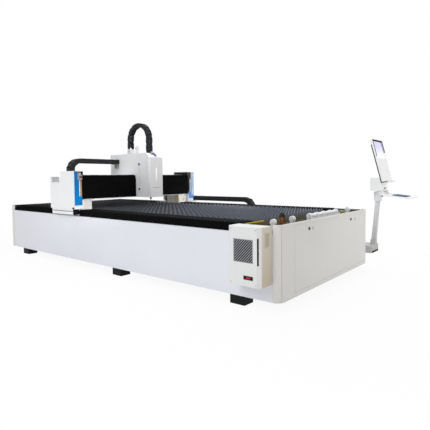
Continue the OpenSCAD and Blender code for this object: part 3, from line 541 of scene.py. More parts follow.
@dataclass(frozen=True)
class PostPaint(PowderCoat):
    """Grey paint of the console's stand, flecked with dust, with painted shade darkening it towards the
    floor, and a paler collar.
    """

    # painted shade: the stand's colour at the floor
    foot: Colour = srgb("B2B1AD")
    dust: Colour = srgb("8E8E8C")
    collar: Colour = srgb("ECEDEF")
    collar_at: float = 0.835
    rise: Span = (0.03, 0.8)

    def dress(self, tree: Tree) -> None:
        """Builds the nodes of the stand and the collar.

        Args:
            tree: The material's nodes.
        """
        z = tree.axis(Axis.Z)
        cloud = tree.patches(20.0, 3.0)
        # painted shade, darker towards the floor
        grey = tree.mix(z.ramp(*self.rise), self.foot, self.colour)
        grey = tree.mix(cloud * 0.06, grey, self.dust)
        self.coat(tree, tree.mix(z > self.collar_at, grey, self.collar), cloud)


@dataclass(frozen=True)
class MonitorPaint(PowderCoat):
    """White screen case with black lip and black rear edge, in the case's own leaning frame."""

    black: Colour = srgb("151617")
    foot: Span = (2.528, 1.146)
    lean: float = 15.0
    lip: float = 0.0135
    edge: Span = (0.017, 0.64)
    side_at: float = 2.317

    def dress(self, tree: Tree) -> None:
        """Builds the nodes of the case and its black edges.

        Args:
            tree: The material's nodes.
        """
        c, s = math.cos(math.radians(self.lean)), math.sin(math.radians(self.lean))
        x, z = tree.axis(Axis.X) - self.foot[0], tree.axis(Axis.Z) - self.foot[1]
        deep, high = x * c + z * s, z * c - x * s
        rear = (deep < self.edge[0]) * (high < self.edge[1])
        edged = (rear + (high < self.lip)).ramp(0.0, 1.0) * (tree.axis(Axis.Y) < self.side_at)
        cloud = tree.patches(20.0, 3.0)
        self.coat(tree, tree.mix(edged, tree.tones(cloud, self.colour, 0.97, 1.03), self.black), cloud)


@dataclass(frozen=True)
class Glass(Finish):
    """A lit screen under glass: a tint that fades to white towards its foot."""

    foot: Colour = srgb("F4F6FB")
    fade: Span = (1.58, 1.74)
    power: float = 0.2

    def dress(self, tree: Tree) -> None:
        """Builds the nodes of the screen.

        Args:
            tree: The material's nodes.
        """
        rows = tree.wave(55.0, Axis.Z).ramp(0.1, 0.9)
        tint = tree.mix(tree.axis(Axis.Z).ramp(*self.fade), self.foot, self.colour)
        shown = tree.mix(rows * 0.12, tint, WHITE)
        self.surface(tree, shown, rows, 0.02)
        tree.set("Emission Color", shown)
        tree.set("Emission Strength", self.power)


@dataclass(frozen=True)
class Lit(Finish):
    """A lit mark."""

    power: float = 0.8

    def dress(self, tree: Tree) -> None:
        """Builds the nodes of the mark.

        Args:
            tree: The material's nodes.
        """
        glow = tree.tones(tree.patches(900.0, 2.0), self.colour, 0.85, 1.0)
        tree.set("Base Color", glow)
        tree.set("Emission Color", glow)
        tree.set("Emission Strength", self.power)
        tree.set("Roughness", self.rough)


@dataclass
class Palette:
    """All finishes of the machine."""

    panel: Finish = PowderCoat("white_panel_paint", srgb("E9EBF1"), 0.42)
    # painted shade: a darker, warmer copy of the panels' white, for the dimmer light on the front end
    front: Finish = PowderCoat("front_panel_painted_shade", srgb("E3E1DD"), 0.34)
    rear: Finish = PowderCoat("rear_panel_paint", srgb("E6E3DE"), 0.42)
    cover: Finish = PowderCoat("white_cover_paint", srgb("F4F4F5"), 0.4)
    # white paint with painted shade on the forward end
    unit: Finish = UnitPaint("cooling_unit_paint", srgb("EAEAE9"), 0.45)
    # painted shade in the hollow of the hand hold; also the colour of the real corner seam
    unit_shade_and_seam: Finish = PowderCoat("hand_hold_shade_and_seam_paint", srgb("BDB29E"), 0.5)
    # painted shade: the shaded tone of the cooler's forward end, on the hand hold's rim
    unit_side_shade: Finish = PowderCoat("hand_hold_rim_painted_shade", srgb("D8CCB7"), 0.5)
    # painted reflection: the far saddle is white, tinted cream for the warm light it reflects
    far_saddle: Finish = SaddlePaint("cream_painted_reflection", srgb("F6F0E8"), 0.5)
    board: Finish = PowderCoat("brown_board", srgb("76623F"), 0.7, 0.2, cloud=0.2)
    corner: Finish = PowderCoat("dark_plate", srgb("55595A"), 0.6, 0.2, cloud=0.1)
    frame: Finish = PowderCoat("frame_primer", srgb("5C5F63"), 0.6)
    bars: Finish = PowderCoat("slat_bar_primer", srgb("6E6B62"), 0.65, 0.2, cloud=0.2)
    deck: Finish = DeckPaint("deck_paint", srgb("4A4437"), 0.8, 0.05)
    khaki: Finish = PowderCoat("khaki_bracket_paint", srgb("A3A38D"), 0.5, cloud=0.1)
    olive: Finish = PowderCoat("olive_paint", srgb("8C8B4E"), 0.5, cloud=0.1)
    tan: Finish = PowderCoat("tan_board", srgb("B3957A"), 0.7, 0.2, cloud=0.08)
    yellow: Finish = PowderCoat("yellow_edge_paint", srgb("E3C33A"), 0.5, cloud=0.08)
    blue: Finish = PowderCoat("blue_trim_paint", srgb("067CC6"), 0.45, 0.12)
    # painted glare: the far trim is the near trim's blue, painted lighter for reflected light
    painted_glare_blue: Finish = PaintedGlareTrim("blue_trim_painted_glare", srgb("5F9BE2"), 0.4, 0.2)
    black: Finish = PowderCoat("black_paint", srgb("101112"), 0.6, 0.15, cloud=0.15)
    slat: Finish = SlatSteel("slat_steel", srgb("565B66"), 0.55)
    bright: Finish = Metal("ground_steel", srgb("B9BBBE"), 0.3)
    dark_metal: Finish = Metal("dark_anodised", srgb("3A3C40"), 0.45, 0.25, metallic=0.5)
    alloy: Finish = Metal("machined_alloy", srgb("A9ABB0"), 0.35)
    grille: Finish = PowderCoat("grille_paint", srgb("9FA1A4"), 0.45)
    brass: Finish = Metal("turned_brass", srgb("6E5836"), 0.3)
    cloth: Finish = CoatedCloth("bellows_cloth", srgb("070708"), 0.7, 0.05)
    chain: Finish = Moulded("chain_plastic", srgb("2B2C2E"), 0.6, 0.15)
    nylon: Finish = Moulded("white_nylon", srgb("F4F5F7"), 0.4, speckle=0.04)
    rubber: Finish = Moulded("black_rubber", srgb("121213"), 0.75, 0.15)
    red: Finish = Moulded("red_cap", srgb("B8262A"), 0.35, speckle=0.08)
    purple: Finish = Moulded("purple_gland", srgb("7468B8"), 0.35, speckle=0.1)
    mat: Finish = Moulded("blue_grey_mat", srgb("4A6478"), 0.6, 0.2, speckle=0.12)
    console: Finish = PowderCoat("console_paint", srgb("F6F6F6"), 0.42)
    post: Finish = PostPaint("post_paint", srgb("DDDEDE"), 0.42)
    valve: Finish = ValvePaint("valve_paint", srgb("C6CACE"), 0.4)
    monitor: Finish = MonitorPaint("monitor_paint", srgb("F4F4F4"), 0.4)
    # painted highlight: a faintly glowing white strip for a bright streak
    painted_highlight: Finish = Lit("painted_highlight_strip", srgb("FFFFFF"), 0.3, power=0.3)
    green: Finish = Moulded("green_button", srgb("1E9A50"), 0.25, speckle=0.06)
    screen: Finish = Glass("screen_glass", srgb("C9C8F2"), 0.12)
    digits: Finish = Lit("red_digits", srgb("E8304A"), 0.4)


PAINTS = Palette()


class Shape:
    """A mesh under construction in the machine's frame."""

    def __init__(self) -> None:
        """Starts empty."""
        self.bm = bmesh.new()

    def bevel(self, edges: Iterable[bmesh.types.BMEdge], width: float, steps: int) -> None:
        """Rounds some edges, each taken once and in the order given."""
        bmesh.ops.bevel(self.bm, geom=list(dict.fromkeys(edges)), offset=width, segments=steps, profile=0.5,
                        affect="EDGES", material=-1)

    def box(self, low: Point, high: Point, round_by: float = 0.0, steps: int = 2) -> "Shape":
        """Adds a block with rounded edges.

        Args:
            low: Its lowest corner.
            high: Its highest corner.
            round_by: The radius of its edges.
            steps: Segments of each rounded edge.

        Returns:
            This shape.
        """
        size = Vector(high) - Vector(low)
        place = Matrix.Translation((Vector(low) + Vector(high)) / 2) @ Matrix.Diagonal((*size, 1.0))
        made = bmesh.ops.create_cube(self.bm, size=1.0, matrix=place)
        if round_by > 0:
            self.bevel((e for v in made["verts"] for e in v.link_edges), round_by, steps)
        return self

    def rod(self, start: Point, end: Point, radius: float, round_by: float = 0.0,
            sides: int = 24) -> "Shape":
        """Adds a round bar with rounded rims.

        Args:
            start: The middle of one end.
            end: The middle of the other end.
            radius: Its radius.
            round_by: The radius of its rims.
            sides: Facets round it.

        Returns:
            This shape.
        """
        a, b = Vector(start), Vector(end)
        turn = (b - a).to_track_quat("Z", "Y").to_matrix().to_4x4()
        made = bmesh.ops.create_cone(
            self.bm, cap_ends=True, segments=sides, radius1=radius, radius2=radius, depth=(b - a).length,
            matrix=Matrix.Translation((a + b) / 2) @ turn)
        if round_by > 0:
            caps = (f for v in made["verts"] for f in v.link_faces if len(f.verts) > 4)
            self.bevel((e for f in caps for e in f.edges), round_by, 2)
        return self

    def copies(self, add: Callable, rows: Iterable[tuple], places: Iterable[Point]) -> "Shape":
        """Adds solids, with a copy of each at every place.

        Args:
            add: The method that adds one solid.
            rows: Its arguments for each solid, which start with two points.
            places: Where the points are counted from.

        Returns:
            This shape.
        """
        for place in places:
            for first, second, *rest in rows:
                add(tuple(map(sum, zip(place, first))), tuple(map(sum, zip(place, second))), *rest)
        return self

    def boxes(self, rows: Iterable[Block], places: Iterable[Point] = (ORIGIN,)) -> "Shape":
        """Adds blocks, with a copy of each at every place."""
        return self.copies(self.box, rows, places)

    def rods(self, rows: Iterable[Bar], places: Iterable[Point] = (ORIGIN,)) -> "Shape":
        """Adds round bars, with a copy of each at every place."""
        return self.copies(self.rod, rows, places)

    def add(self, mesh: bpy.types.Mesh, place: Matrix) -> None:
        """Adds a copy of a mesh.

        Args:
            mesh: The mesh.
            place: Where its own frame stands.
        """
        before = len(self.bm.verts)
        self.bm.from_mesh(mesh)
        self.bm.verts.ensure_lookup_table()
        bmesh.ops.transform(self.bm, matrix=place, verts=self.bm.verts[before:])

    def move(self, place: Matrix) -> "Shape":
        """Returns this shape, moved as a whole."""
        bmesh.ops.transform(self.bm, matrix=place, verts=self.bm.verts)
        return self

    def mesh(self, name: str, smooth: float = 35.0) -> bpy.types.Mesh:
        """Returns the finished mesh with all its faces turned outwards."""
        bmesh.ops.recalc_face_normals(self.bm, faces=self.bm.faces)
        return self.shell(name, smooth)

    def shell(self, name: str, smooth: float) -> bpy.types.Mesh:
        """Finishes the mesh with its faces turned as they are.

        Args:
            name: The mesh's name.
            smooth: The angle in degrees below which faces meet smoothly.

        Returns:
            The mesh.
        """
        for face in self.bm.faces:
            face.smooth = True
        for edge in self.bm.edges:
            if len(edge.link_faces) == 2 and edge.calc_face_angle(0.0) > math.radians(smooth):
                edge.smooth = False
        made = bpy.data.meshes.new(name)
        self.bm.to_mesh(made)
        self.bm.free()
        return made


def put(name: str, data: bpy.types.ID) -> bpy.types.Object:
    """Returns a new object of that data, linked into the scene."""
    made = bpy.data.objects.new(name, data)
    bpy.context.scene.collection.objects.link(made)
    return made


def piece(name: str, mesh: bpy.types.Mesh, finish: Finish) -> bpy.types.Object:
    """Puts a finished mesh into the scene.

    Args:
        name: The piece's name.
        mesh: Its mesh, in the machine's frame.
        finish: Its finish.

    Returns:
        The new object.
    """
    mesh.materials.clear()
    mesh.materials.append(finish.material())
    made = put(name, mesh)
    log.info("piece %s: %d faces", name, len(mesh.polygons))
    return made


def fit(name: str, shape: Shape, finish: Finish, body: str) -> None:
    """Finishes a small part that only the visual model carries, and fixes it to a body."""
    made = piece(name, shape.mesh(name), finish)
    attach(made, body)


def paint(finish: Finish, *names: str) -> None:
    """Gives CAD nodes a finish.

    Args:
        finish: The finish.
        names: The nodes.
    """
    for name in names:
        node = frame["nodes"][name]
        node.data.materials.clear()
        node.data.materials.append(finish.material())
        log.info("node %s: %s", name, finish.name)


def soften(*names: str) -> None:
    """Rounds the sharp edges of CAD nodes for the eye, by live modifiers.

    Args:
        names: The nodes.
    """
    for name in names:
        node = frame["nodes"][name]
        weld = node.modifiers.new("weld", "WELD")
        weld.merge_threshold = WELD_GAP
        flat = node.modifiers.new("flat", "DECIMATE")
        flat.decimate_type, flat.angle_limit = "DISSOLVE", FLAT_ANGLE
        edge = node.modifiers.new("edge", "BEVEL")
        edge.width, edge.segments, edge.limit_method = EDGE_WIDTH, 2, "ANGLE"
        edge.angle_limit, edge.use_clamp_overlap = EDGE_ANGLE, True


def smooth_share(share: float) -> float:
    """Returns where a smooth step from 0 to 1 reaches that share."""
    return 0.5 - math.sin(math.asin(1.0 - 2.0 * share) / 3.0)


def stretch(obj: bpy.types.Object, bodies: Bodies, axis: Axis, span: Span, shares: Span) -> None:
    """Works out where shares that rise evenly along a piece would start and end, and bakes the piece's place
    into its mesh.

    Args:
        obj: The piece.
        bodies: Not used.
        axis: The direction along the piece.
        span: Where the piece starts and ends on that axis.
        shares: The shares of the second body at those two ends.
    """
    t0, t1 = (smooth_share(s) for s in shares)
    rate = (span[1] - span[0]) / (t1 - t0)
    start = axis.at(span[0] - t0 * rate)
    end = axis.at(span[0] + (1.0 - t0) * rate)
    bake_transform(obj)


def partway(obj: bpy.types.Object, bodies: Bodies, across: Axis, place: float, share: float) -> None:
    """Works out where a whole piece would lie at a fixed share of the way to the second body, and bakes the
    piece's place into its mesh.

    Args:
        obj: The piece.
        bodies: Not used.
        across: A direction in which neither body moves.
        place: Where the piece lies in that direction.
        share: The share of the second body's movement.
    """
    low = place - smooth_share(share) * LONG_BLEND
    across.at(low + LONG_BLEND)
    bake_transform(obj)


@dataclass(frozen=True)
class Lamp:
    """A soft round lamp: its place, the point that it faces, width, watts, colour and beam in degrees."""

    name: str
    place: Point
    aim: Point
    size: float
    watts: float
    colour: Colour = WHITE
    spread: float = 180.0

    def build(self) -> None:
        """Adds the lamp to the scene."""
        data = bpy.data.lights.new(self.name, "AREA")
        data.shape, data.size, data.energy = "DISK", self.size, self.watts
        data.color, data.spread = self.colour, math.radians(self.spread)
        made = put(self.name, data)
        made.location = self.place
        made.rotation_euler = (Vector(self.aim) - Vector(self.place)).to_track_quat("-Z", "Y").to_euler()
        made.visible_camera = False


@dataclass
class Stage:
    """Camera, lamps, floor and background."""

    eye: Point = (4.5569, -4.2951, 1.2512)
    yaw: float = 129.63
    pitch: float = 2.54
    roll: float = -0.0097
    lens: float = 33.47
    sensor: float = 36.0
    shift: float = -0.0447
    clip: Span = (0.05, 200.0)
    light: float = 0.5
    floor_half: float = 40.0
    floor_tone: Colour = (0.9, 0.9, 0.9)
    floor_glow: float = 0.93
    floor_fade: Span = (3.0, 12.0)
    lamps: tuple[Lamp, ...] = (
        Lamp("key", (1.5, -8.0, 5.5), (0.0, 0.0, 0.6), 5.0, 230.0, (0.95, 0.97, 1.0)),
        Lamp("top", (-0.5, 0.0, 7.0), (-0.5, 0.0, 0.8), 6.0, 160.0),
        Lamp("front", (8.5, 1.5, 3.0), (2.7, 0.5, 0.6), 3.0, 36.0, (1.0, 0.96, 0.9)),
        Lamp("table", (1.7, 0.2, 3.0), (-0.3, 0.0, 1.3), 2.0, 11.0),
        Lamp("far_saddle", (1.6, 0.45, 1.0), (-0.7, 1.0, 0.87), 0.3, 0.5, (1.0, 0.97, 0.93), 26.0),
        Lamp("near_saddle", (1.8, -1.9, 1.0), (-0.62, -1.0, 0.87), 0.3, 0.38, (1.0, 0.98, 0.93), 20.0),
        Lamp("console", (2.6, 0.6, 3.2), (2.4, 2.5, 1.2), 1.2, 10.0),
        Lamp("screen", (5.4, 3.4, 2.2), (2.45, 2.55, 1.3), 1.5, 22.0))

    def camera(self) -> None:
        """Places the camera at the photograph's viewing angle."""
        yaw, pitch = math.radians(self.yaw), math.radians(self.pitch)
        ahead = Vector((math.cos(yaw) * math.cos(pitch), math.sin(yaw) * math.cos(pitch), -math.sin(pitch)))
        right = Vector((math.sin(yaw), -math.cos(yaw), 0.0))
        above = right.cross(ahead)
        side = right * math.cos(self.roll) + above * math.sin(self.roll)
        top = above * math.cos(self.roll) - right * math.sin(self.roll)
        data = bpy.data.cameras.new("camera")
        data.lens, data.sensor_width, data.shift_y = self.lens, self.sensor, self.shift
        data.clip_start, data.clip_end = self.clip
        made = put("camera", data)
        made.matrix_world = Matrix((side, top, -ahead)).transposed().to_4x4()
        made.location = self.eye
        bpy.context.scene.camera = made

    def floor(self) -> None:
        """Lays a pale floor that keeps a faint shadow."""
        mesh = bpy.data.meshes.new("floor")
        bm = bmesh.new()
        bmesh.ops.create_grid(bm, x_segments=2, y_segments=2, size=self.floor_half)
        bm.to_mesh(mesh)
        bm.free()
        made = put("floor", mesh)
        material = bpy.data.materials.new("pale_floor")
        tree = Tree(material)
        tree.set("Base Color", self.floor_tone)
        tree.set("Roughness", 0.9)
        tree.set("Specular IOR Level", 0.1)
        glow = tree.node("ShaderNodeEmission", {}, {"Color": WHITE, "Strength": 1.0})
        x, y = tree.axis(Axis.X), tree.axis(Axis.Y)
        far = (x * x * 0.3 + y * y).ramp(*self.floor_fade)
        share = tree.seen() * (self.floor_glow + far * (1.0 - self.floor_glow))
        matt = Sock(tree, tree.shader.outputs[0])
        both = tree.node("ShaderNodeMixShader", {}, {0: share, 1: matt, 2: glow})
        tree.links.new(both.out, tree.surface)
        mesh.materials.append(material)

    def world(self) -> None:
        """Makes the white background, and plain light all round."""
        world = bpy.data.worlds.new("studio")
        bpy.context.scene.world = world
        tree = Tree(world, "ShaderNodeBackground", "ShaderNodeOutputWorld")
        tree.set("Color", WHITE)
        tree.set("Strength", self.light + tree.seen() * (1.0 - self.light))

    def build(self) -> None:
        """Sets the camera, background, floor and lamps."""
        bpy.context.scene.view_settings.view_transform = "Standard"
        self.camera()
        self.world()
        self.floor()
        for lamp in self.lamps:
            lamp.build()


@dataclass(frozen=True)
class Link:
    """One link of a cable chain: side plates with pins or ribs, and two lids."""

    pitch: float
    height: float
    width: float
    plate: float = 0.007
    play: float = 0.0006
    reach: float = 0.46
    corner: float = 0.42
    pin: float = 0.22
    pin_out: float = 0.0015
    rib: Span = (0.3, 0.7)
    rib_half: float = 0.3
    rib_out: float = 0.002
    lids: Span = (0.96, 0.6)
    lid: float = 0.006
    lid_in: float = 0.001

    def plates(self, shape: Shape, side: float, sign: float) -> None:
        """Adds the rounded plate of one side.

        Args:
            shape: The link's shape.
            side: How far out the plate lies.
            sign: Which side it is on.
        """
        low, high = sorted((sign * side, sign * (side - self.plate)))
        length = self.pitch + 2 * self.height * self.reach
        made = bmesh.ops.create_cube(
            shape.bm, size=1.0, matrix=Matrix.Translation((self.pitch / 2, (low + high) / 2, 0.0))
            @ Matrix.Diagonal((length, high - low, self.height, 1.0)))
        ends = [e for v in made["verts"] for e in v.link_edges
                if abs((e.verts[0].co - e.verts[1].co).y) > 1e-4]
        shape.bevel(ends, self.height * self.corner, 4)

    def mesh(self, outer: bool) -> bpy.types.Mesh:
        """Makes a link from its first pin along X, upright in Z.

        Args:
            outer: Whether its plates lie outside those of its neighbours.

        Returns:
            The mesh.
        """
        side = self.width / 2 if outer else self.width / 2 - self.plate - self.play
        shape = Shape()
        for s in (-1.0, 1.0):
            self.plates(shape, side, s)
            if outer:
                for x in (0.0, self.pitch):
                    tip = s * (side + self.pin_out)
                    shape.rod((x, s * side, 0.0), (x, tip, 0.0), self.height * self.pin, sides=12)
            else:
                y0, y1 = sorted((s * side, s * (side + self.rib_out)))
                x0, x1 = (self.pitch * share for share in self.rib)
                z = self.height * self.rib_half
                shape.box((x0, y0, -z), (x1, y1, z), 0.0015, 1)
        inside = side - self.lid_in
        for s, share in zip((1.0, -1.0), self.lids):
            z0, z1 = sorted((s * self.height / 2, s * (self.height / 2 - self.lid)))
            x0, x1 = self.pitch * (0.5 - share / 2), self.pitch * (0.5 + share / 2)
            shape.box((x0, -inside, z0), (x1, inside, z1), 0.002, 1)
        return shape.mesh("link", 40.0)


@dataclass
class Chain:
    """A cable chain through pins in one plane."""

    link: Link
    across: Axis
    pins: list[Vector]

    def run(self, first: int, last: int, name: str) -> bpy.types.Object:
        """Makes the links between two pins.

        Args:
            first: Number of the first pin.
            last: Number of the last pin.
            name: The piece's name.

        Returns:
            The piece.
        """
        kinds = [self.link.mesh(True), self.link.mesh(False)]
        across = Vector(self.across.at(1.0))
        shape = Shape()
        for i in range(first, last):
            along = (self.pins[i + 1] - self.pins[i]).normalized()
            turn = Matrix((along, across, along.cross(across))).transposed().to_4x4()
            shape.add(kinds[i % 2], Matrix.Translation(self.pins[i]) @ turn)
        made = piece(name, shape.shell(name, 40.0), PAINTS.chain)
        for kind in kinds:
            bpy.data.meshes.remove(kind)
        return made


def turn_pins(radius: float, turn: int, above: int, below: int) -> list[Span]:
    """Works out the pins of an upper run, a half turn and a lower run, in the plane of the turn.

    Args:
        radius: The radius of the half turn.
        turn: Number of links in the half turn.
        above: Number of links in the upper run.
        below: Number of links in the lower run.

    Returns:
        Each pin's place ahead of the turn's middle, and above it.
    """
    pitch = link_pitch(radius, turn)
    angles = [math.pi * i / turn for i in range(turn + 1)]
    return ([(-i * pitch, radius) for i in range(above, 0, -1)]
            + [(radius * math.sin(a), radius * math.cos(a)) for a in angles]
            + [(-i * pitch, -radius) for i in range(1, below + 1)])


def link_pitch(radius: float, turn: int) -> float:
    """Returns the pitch of links of which so many make a half turn."""
    return 2 * radius * math.sin(math.pi / 2 / turn)


@dataclass(frozen=True)
class RollingChain:
    """A chain that lies in two runs with a half turn between, and rolls along one axis.

    The half turn has its middle, radius and heading. The counts are links in the turn, the upper run and
    the lower run. The cuts are the pins between the sections, and the share is how much of the moving
    body's travel the half turn makes.
    """

    node: str
    bodies: Bodies
    axis: Axis
    across: Axis
    link: Link
    middle: Point
    radius: float
    heading: float
    counts: tuple[int, int, int]
    cuts: tuple[int, ...]
    share: float

    def pins(self) -> list[Vector]:
        """Returns the pins from the moving end to the still end."""
        ahead, up = Vector(self.axis.at(self.heading)), Vector(Axis.Z.at(1.0))
        flat = turn_pins(self.radius, *self.counts)
        return [Vector(self.middle) + ahead * u + up * v for u, v in flat]

    def build(self) -> None:
        """Makes the chain in five sections and bakes the place of each."""
        chain = Chain(self.link, self.across, self.pins())
        cuts, turn = self.cuts, self.share
        upper = 1.0 - (1.0 - turn) * cuts[1] / cuts[2]
        lower = turn * (cuts[5] - cuts[4]) / (cuts[5] - cuts[3])
        shares = ((1.0, upper), (upper, turn), None, (turn, lower), (lower, 0.0))
        for i, share in enumerate(shares):
            first, last = cuts[i], cuts[i + 1]
            made = chain.run(first, last, f"{self.node}_{i + 1}")
            if share is None:
                partway(made, self.bodies, self.across, chain.pins[first][self.across.value], turn)
            else:
                span = (chain.pins[first][self.axis.value], chain.pins[last][self.axis.value])
                stretch(made, self.bodies, self.axis, span, share)
            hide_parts(self.node)


@dataclass
class CableChains:
    """The three cable chains: along the bed, along the beam, and over the carriage."""

    rolling: tuple[RollingChain, ...] = (
        RollingChain("x_chain", ("bed", "gantry"), Axis.X, Axis.Y, Link(0.08343, 0.08, 0.09),
                     (0.6115, 1.29, 0.745), 0.135, 1.0, (5, 15, 8), (0, 4, 15, 20, 26, 28), 0.5),
        RollingChain("y_chain", ("gantry", "carriage"), Axis.Y, Axis.X, Link(0.06364, 0.074, 0.118),
                     (-1.034, -0.85, 1.394), 0.143, -1.0, (7, 11, 8), (0, 2, 11, 18, 24, 26), 0.10))
    arch_middle: Point = (-0.616, 0.020, 1.8972)
    arch_radius: float = 0.233
    arch_counts: tuple[int, int, int] = (12, 2, 5)
    arch_height: float = 0.063
    arch_width: float = 0.088
    arch_cut: int = 8

    def over_carriage(self) -> None:
        """Makes the arched chain of the head."""
        x, y, z = self.arch_middle
        r = self.arch_radius
        pitch = link_pitch(r, self.arch_counts[0])
        pins = [Vector((x - v, y, z + u)) for u, v in turn_pins(r, *self.arch_counts)]
        chain = Chain(Link(pitch, self.arch_height, self.arch_width), Axis.Y, pins)
        left = chain.run(0, self.arch_cut, "z_chain_1")
        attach(left, "carriage")
        right = chain.run(self.arch_cut, len(pins) - 1, "z_chain_2")
        z - 4 * pitch
        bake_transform(right)
        for made in (left, right):
            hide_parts("z_chain")

    def build(self) -> None:
        """Makes all three chains."""
        for chain in self.rolling:
            chain.build()
        self.over_carriage()


@dataclass
class Covers:
    """Pleated covers between a still and a moving body, made in sections.

    A span is a cover's node, its two ends, and whether it is the moving body that holds its second end.
    The marks part a cover into sections, as shares of its length.
    """

    axis: Axis
    bodies: Bodies
    spans: tuple[tuple[str, float, float, bool], ...]
    marks: tuple[float, ...]
    pleats: tuple[int, ...]
    rise: float
    frame_length: float
    frame_rise: float = 0.001
    corner: float = 0.006
    thick: float = 0.0012
    fold: tuple[Span, ...] = ((0.4, 0.93), (0.5, 1.0), (0.6, 0.93), (0.97, 0.0), (1.0, 0.0))

    def outlines(self) -> list[Outline]:
        """Returns the outline of each strip, as a function of the place on the axis and the rise."""
        raise NotImplementedError

    def strip(self, outline: Outline, name: str, ends: Span, pleats: int, rise: float) -> bpy.types.Mesh:
        """Folds one sheet.

        Args:
            outline: Its outline.
            name: The mesh's name.
            ends: Where the first and the last valley lie.
            pleats: Number of pleats.
            rise: The height of a pleat.

        Returns:
            The mesh.
        """
        pitch = (ends[1] - ends[0]) / pleats
        shape = Shape()
        bm = shape.bm
        verts = [bm.verts.new(p) for p in outline(ends[0], 0.0)]
        edges = [bm.edges.new(pair) for pair in zip(verts, verts[1:])]
        for place, lift in ((i + part, lift) for i in range(pleats) for part, lift in self.fold):
            made = bmesh.ops.extrude_edge_only(bm, edges=edges)["geom"]
            fresh = {g for g in made if isinstance(g, bmesh.types.BMVert)}
            verts = [next(e.other_vert(v) for e in v.link_edges if e.other_vert(v) in fresh) for v in verts]
            edges = [bm.edges.get(pair) for pair in zip(verts, verts[1:])]
            for vert, point in zip(verts, outline(ends[0] + place * pitch, lift * rise)):
                vert.co = point
        bmesh.ops.solidify(bm, geom=bm.faces[:], thickness=self.thick)
        return shape.mesh(name, 30.0)

    def section(self, name: str, ends: Span, pleats: int, rise: float) -> bpy.types.Object:
        """Makes all strips between two places.

        Args:
            name: The piece's name.
            ends: Where the first and the last valley lie.
            pleats: Number of pleats.
            rise: The height of a pleat.

        Returns:
            The piece.
        """
        shape = Shape()
        for outline in self.outlines():
            strip = self.strip(outline, name, ends, pleats, rise)
            shape.add(strip, Matrix.Identity(4))
            bpy.data.meshes.remove(strip)
        return piece(name, shape.shell(name, 30.0), PAINTS.cloth)

    def build(self) -> None:
        """Makes the covers and their end frames."""
        still, moving = self.bodies
        for node, start, end, rising in self.spans:
            at = [start + (end - start) * m for m in self.marks]
            for i, count in enumerate(self.pleats):
                made = self.section(f"{node}_{i + 1}", (at[i], at[i + 1]), count, self.rise)
                shares = self.marks[i:i + 2] if rising else tuple(1.0 - m for m in self.marks[i:i + 2])
                stretch(made, self.bodies, self.axis, (at[i], at[i + 1]), shares)
                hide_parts(node)
            first, last = (still, moving) if rising else (moving, still)
            for body, ends in ((first, (start, start + self.frame_length)),
                               (last, (end - self.frame_length, end))):
                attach(self.section(f"{node}_{body}_frame", ends, 1, self.frame_rise), body)


@dataclass
class RailCovers(Covers):
    """The pleated covers over the rails of the long axis."""

    axis: Axis = Axis.X
    bodies: Bodies = ("bed", "gantry")
    spans: tuple[tuple[str, float, float, bool], ...] = (
        ("x_bellows_rear", -2.6095, -1.2005, True), ("x_bellows_front", -0.6095, 2.245, False))
    marks: tuple[float, ...] = (0.004, 0.016, 0.05, 0.15, 0.85, 0.95, 0.984, 0.996)
    pleats: tuple[int, ...] = (1, 2, 6, 44, 6, 2, 1)
    rise: float = 0.008
    frame_length: float = 0.03
    low: float = 0.726
    high: float = 0.807
    outer: float = 1.122
    inner: float = 0.904

    def over_rail(self, side: float) -> Outline:
        """Makes the outline over the rail on one side.

        Args:
            side: Which side it is on.

        Returns:
            The outline.
        """
        def outline(x: float, lift: float) -> list[Point]:
            """Works out the outline.

            Args:
                x: The place along the rail.
                lift: How far the pleat stands out there.

            Returns:
                The outline's points.
            """
            y0, y1, z = side * (self.outer + lift), side * (self.inner - lift), self.high + lift
            cut = side * self.corner
            return [(x, y0, self.low), (x, y0, z - self.corner), (x, y0 - cut, z),
                    (x, y1 + cut, z), (x, y1, z - self.corner), (x, y1, self.low)]
        return outline

    def outlines(self) -> list[Outline]:
        """Returns the outlines over both rails."""
        return [self.over_rail(-1.0), self.over_rail(1.0)]


@dataclass
class BeamCovers(Covers):
    """The pleated covers over the rails of the beam."""

    axis: Axis = Axis.Y
    bodies: Bodies = ("gantry", "carriage")
    spans: tuple[tuple[str, float, float, bool], ...] = (
        ("y_bellows_near", -1.106, -0.1255, True), ("y_bellows_far", 0.1655, 1.106, False))
    marks: tuple[float, ...] = (0.004, 0.035, 0.1, 0.9, 0.965, 0.996)
    pleats: tuple[int, ...] = (1, 2, 24, 2, 1)
    rise: float = 0.005
    frame_length: float = 0.02
    back: float = -0.614
    front: float = -0.565
    low: float = 0.972
    high: float = 1.308

    def over_beam(self, y: float, lift: float) -> list[Point]:
        """Works out the outline.

        Args:
            y: The place along the beam.
            lift: How far the pleat stands out there.

        Returns:
            The outline's points.
        """
        x, z0, z1 = self.front + lift, self.low - lift, self.high + lift
        cut = self.corner
        return [(self.back, y, z0), (x - cut, y, z0), (x, y, z0 + cut), (x, y, z1 - cut),
                (x - cut, y, z1), (self.back, y, z1)]

    def outlines(self) -> list[Outline]:
        """Returns the one outline over the beam."""
        return [self.over_beam]


